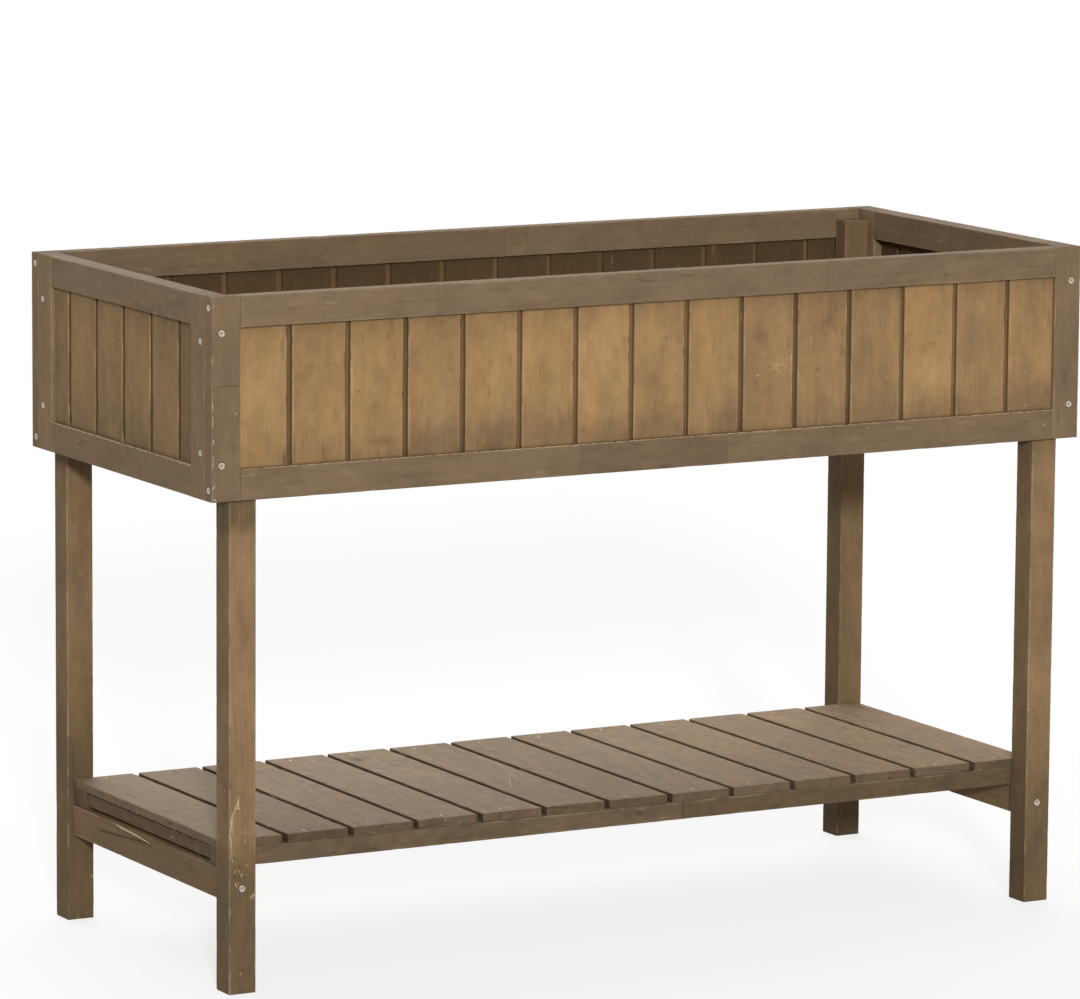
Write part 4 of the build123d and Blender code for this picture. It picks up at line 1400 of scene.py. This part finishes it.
SLAT_SCRATCHES = [
    (2.0, 1.5, 0.0, [(-0.0490, 0.112), (-0.0515, 0.044), (-0.0610, 0.000), (-0.0780, -0.052)]),
    (2.4, 1.3, 0.0, [(-0.0720, -0.019), (-0.1010, -0.075)]),
    (2.4, 1.1, 0.0, [(0.0060, 0.092), (-0.0060, 0.058), (0.0080, 0.038)]),
]
STILE_MARKS = [
    (1.1, 0.0, 0.75, [(-0.5345, 0.6640), (-0.5260, 0.6646), (-0.5175, 0.6640)]),
    (0.8, 0.0, 0.35, [(-0.5470, 0.6632), (-0.5345, 0.6640)]),
    (1.3, 1.7, 0.0, [(-0.5484, 0.7480), (-0.5470, 0.7520)]),
    (1.2, 1.6, 0.0, [(-0.5487, 0.6880), (-0.5486, 0.6950)]),
    (1.4, 1.7, 0.0, [(-0.5486, 0.6400), (-0.5487, 0.6490)]),
    (1.2, 1.6, 0.0, [(-0.5486, 0.6200), (-0.5484, 0.6330)]),
    (1.4, 1.7, 0.0, [(-0.5487, 0.6020), (-0.5484, 0.6090)]),
    (1.3, 1.6, 0.0, [(-0.5486, 0.5760), (-0.5484, 0.5900)]),
    (1.5, 1.7, 0.0, [(-0.5485, 0.5530), (-0.5470, 0.5600)]),
    (1.8, 1.8, 0.0, [(-0.5484, 0.5440), (-0.5440, 0.5415)]),
]
BACK_STILE_CHIPS = [(4.5, 1.8, 0.0, [(0.2150, 0.6915), (0.2152, 0.7030)])]

# Short ridges by the leg's screw: corners of their patch, how many, least and most run, and how
# wide, raw and dark they are
SPECKLE_PATCH = ((-0.5235, 0.1190), (-0.5040, 0.1420))
SPECKLE_COUNT = 18
SPECKLE_RUN = ((-0.0014, 0.0016), (0.0014, 0.0045))
SPECKLE_WIDTH = 0.9
SPECKLE_RAW = 1.6
SPECKLE_DARK = 0.75

# Section of a ridge by shares of its half width and heights in millimetres, and how it varies
BURR_SECTION = ((0, 0.14), (0.5, 0.10), (1, -0.30), (-1, -0.30), (-0.5, 0.10))
BURR_STEP = 0.8 * MM
BURR_LEAST_RINGS = 8
BURR_WANDER_STEP = 5 * MM
BURR_SWELL_STEP = 3 * MM
BURR_SWELL = (0.45, 1.1)
BURR_TONE = 0.5


def burr(corners, normal, width, raw, dark, rng):
    """A line of torn fibres: a low ridge carried along a bent line on a flat face.

    Its half width is the given one times a slow wander, times the root of 1 less the square of
    the place along it from -1 to 1, so that both ends are fine.
    """
    corners, normal = np.asarray(corners), np.asarray(normal, float)
    way = np.concatenate([[0], np.cumsum(np.linalg.norm(np.diff(corners, axis=0), axis=1))])
    at = np.linspace(0, way[-1], max(BURR_LEAST_RINGS, int(way[-1] / BURR_STEP)))
    line = np.stack([np.interp(at, way, corners[:, k]) for k in range(3)], axis=-1)
    ahead = np.gradient(line, axis=0)
    ahead /= np.linalg.norm(ahead, axis=1)[:, None]
    side = np.cross(ahead, normal)
    line += side * (width * (drift(rng, at, BURR_WANDER_STEP) - 0.5))[:, None]
    fine = np.sqrt(np.clip(1 - (2 * at / way[-1] - 1) ** 2, 0.01, 1))
    half = width / 2 * fine * (BURR_SWELL[0] + BURR_SWELL[1] * drift(rng, at, BURR_SWELL_STEP))
    across, height = np.array(BURR_SECTION).T
    spread = (half[:, None] * across)[..., None] * side[:, None]
    rings = line[:, None] + spread + (height * MM)[:, None] * normal
    stain = np.broadcast_to((BURR_TONE, 0, dark), rings.shape)
    wear = np.broadcast_to((0, raw, 0), rings.shape)
    return skinned(rings, rings, stain, wear)


def add_burrs():
    """Torn fibres on the front left leg, scratches on two slats, a crack and chips on two stiles."""
    rng = draws("burr")
    speckles = []
    for k in range(SPECKLE_COUNT):
        start = rng.uniform(*SPECKLE_PATCH)
        stop = start + rng.uniform(*SPECKLE_RUN)
        dark = 1 - k % 2
        speckles.append((SPECKLE_WIDTH, SPECKLE_RAW * (1 - dark), SPECKLE_DARK * dark, [start, stop]))
    leg_face = node_box("front_left_leg")[0][1]
    slat_top = node_box("shelf_slat_06")[1][2]
    stile_face = node_box("front_left_stile")[0][1]
    stile_side = node_box("back_left_stile")[0][0]
    groups = (
        ("front_left_leg_tears", LEG_TEARS + speckles, "leg_wood", 1, leg_face, -1),
        ("shelf_slat_scratches", SLAT_SCRATCHES, "shelf_wood", 2, slat_top, 1),
        ("front_left_stile_marks", STILE_MARKS, "frame_wood", 1, stile_face, -1),
        ("back_left_stile_chips", BACK_STILE_CHIPS, "frame_wood", 0, stile_side, -1),
    )
    for name, lines, slot, axis, face, sign in groups:
        normal = sign * np.eye(3)[axis]
        solids = []
        for width, raw, dark, corners in lines:
            solids.append(burr(np.insert(corners, axis, face, axis=1), normal, width * MM, raw, dark, rng))
        add_timber(name, solids, [], slot)


for order, face in enumerate((*FACES, *SIDES)):
    add_panel(face, order)
add_legs()
add_shelf()
add_floor_of_box()
add_screws()
add_nails()
add_sliver()
add_burrs()

# Studio: floor in metres, its grey for light and for the camera, and strengths of the surround
FLOOR_HALF = 30.0
FLOOR_GREY = (0.55, 0.55, 0.55, 1)
FLOOR_SHOWN = (1.1, 1.1, 1.1, 1)
WHITE = (1, 1, 1, 1)
FLOOR_GLOW = 0.75
SURROUND_STRENGTH = 0.40

# Suns: strength as a multiple of pi, then width of the disc and turns about x and z in degrees
SUNS = {"key": (0.60, 5.0, 73.0, -22.6), "back_wash": (0.62, 60.0, -56.0, -15.0)}

# Camera: turns in radians, distances in metres, lens in millimetres
CAMERA_YAW = 0.5047
CAMERA_PITCH = 0.1558
CAMERA_ROLL = 0.0075
CAMERA_DISTANCE = 7.3054
CAMERA_ASIDE = -0.02092
CAMERA_ABOVE = 0.07255
TARGET_HEIGHT = 0.400
LENS = 214.02
SENSOR_WIDTH = 36.0
CLIP_END = 200.0


def seen_rays(tree):
    """1 for rays that show a surface to the eye, 0 for rays that only carry its light."""
    path = node(tree, "LightPath").outputs
    return most(tree, most(tree, path["Is Camera Ray"], path["Is Glossy Ray"]), path["Is Transmission Ray"])


def mix(tree, share, first, second):
    """Two shaders mixed by a share."""
    return node(tree, "MixShader", {0: share, 1: first.outputs[0], 2: second.outputs[0]})


def add_floor():
    """A white floor that shows the camera a pale shadow, and is clear when seen from below."""
    mesh = bpy.data.meshes.new("studio floor")
    half = FLOOR_HALF
    corners = [(-half, -half, 0), (half, -half, 0), (half, half, 0), (-half, half, 0)]
    mesh.from_pydata(corners, [], [(0, 1, 2, 3)])
    floor = into_scene("studio_floor", mesh)
    material, tree, _ = new_material("studio floor")
    tree.nodes.clear()
    lighting = node(tree, "BsdfDiffuse", {"Color": FLOOR_GREY})
    shadow = node(tree, "BsdfDiffuse", {"Color": FLOOR_SHOWN})
    glow = node(tree, "Emission", {"Color": WHITE, "Strength": 1.0})
    above = mix(tree, seen_rays(tree), lighting, mix(tree, FLOOR_GLOW, shadow, glow))
    below = node(tree, "NewGeometry").outputs["Backfacing"]
    surface = mix(tree, below, above, node(tree, "BsdfTransparent"))
    node(tree, "OutputMaterial", {0: surface.outputs[0]})
    mesh.materials.append(material)


def add_light():
    """A soft even surround, a key light low in front and to the left, and a wash from behind."""
    world = bpy.data.worlds.new("studio")
    bpy.context.scene.world = world
    world.use_nodes = True
    tree = world.node_tree
    tree.nodes.clear()
    soft = node(tree, "Background", {"Color": WHITE, "Strength": SURROUND_STRENGTH})
    shown = node(tree, "Background", {"Color": WHITE, "Strength": 1.0})
    node(tree, "OutputWorld", {0: mix(tree, seen_rays(tree), soft, shown).outputs[0]})
    for name, (strength, width, tilt, turn) in SUNS.items():
        sun = bpy.data.lights.new(name, "SUN")
        sun.energy = strength * math.pi
        sun.angle = math.radians(width)
        into_scene(name, sun).rotation_euler = (math.radians(tilt), 0, math.radians(turn))


def add_camera():
    """The photograph's viewpoint: a long lens in front, to the left and a little above."""
    right = np.array([math.cos(CAMERA_YAW), -math.sin(CAMERA_YAW), 0])
    ahead = np.array([math.sin(CAMERA_YAW), math.cos(CAMERA_YAW), 0])
    up = np.array([0.0, 0.0, 1.0])
    look = ahead * math.cos(CAMERA_PITCH) - up * math.sin(CAMERA_PITCH)
    over = ahead * math.sin(CAMERA_PITCH) + up * math.cos(CAMERA_PITCH)
    across = right * math.cos(CAMERA_ROLL) + over * math.sin(CAMERA_ROLL)
    top = over * math.cos(CAMERA_ROLL) - right * math.sin(CAMERA_ROLL)
    target = np.array([0, 0, TARGET_HEIGHT])
    place = target - look * CAMERA_DISTANCE + across * CAMERA_ASIDE + top * CAMERA_ABOVE
    data = bpy.data.cameras.new("camera")
    data.lens = LENS
    data.sensor_width = SENSOR_WIDTH
    data.clip_end = CLIP_END
    camera = into_scene("camera", data)
    turn = np.eye(4)
    turn[:3] = np.stack([across, top, -look, place], axis=1)
    camera.matrix_world = Matrix(turn.tolist())
    bpy.context.scene.camera = camera


add_floor()
add_light()
add_camera()
bpy.context.scene.view_settings.view_transform = "Standard"
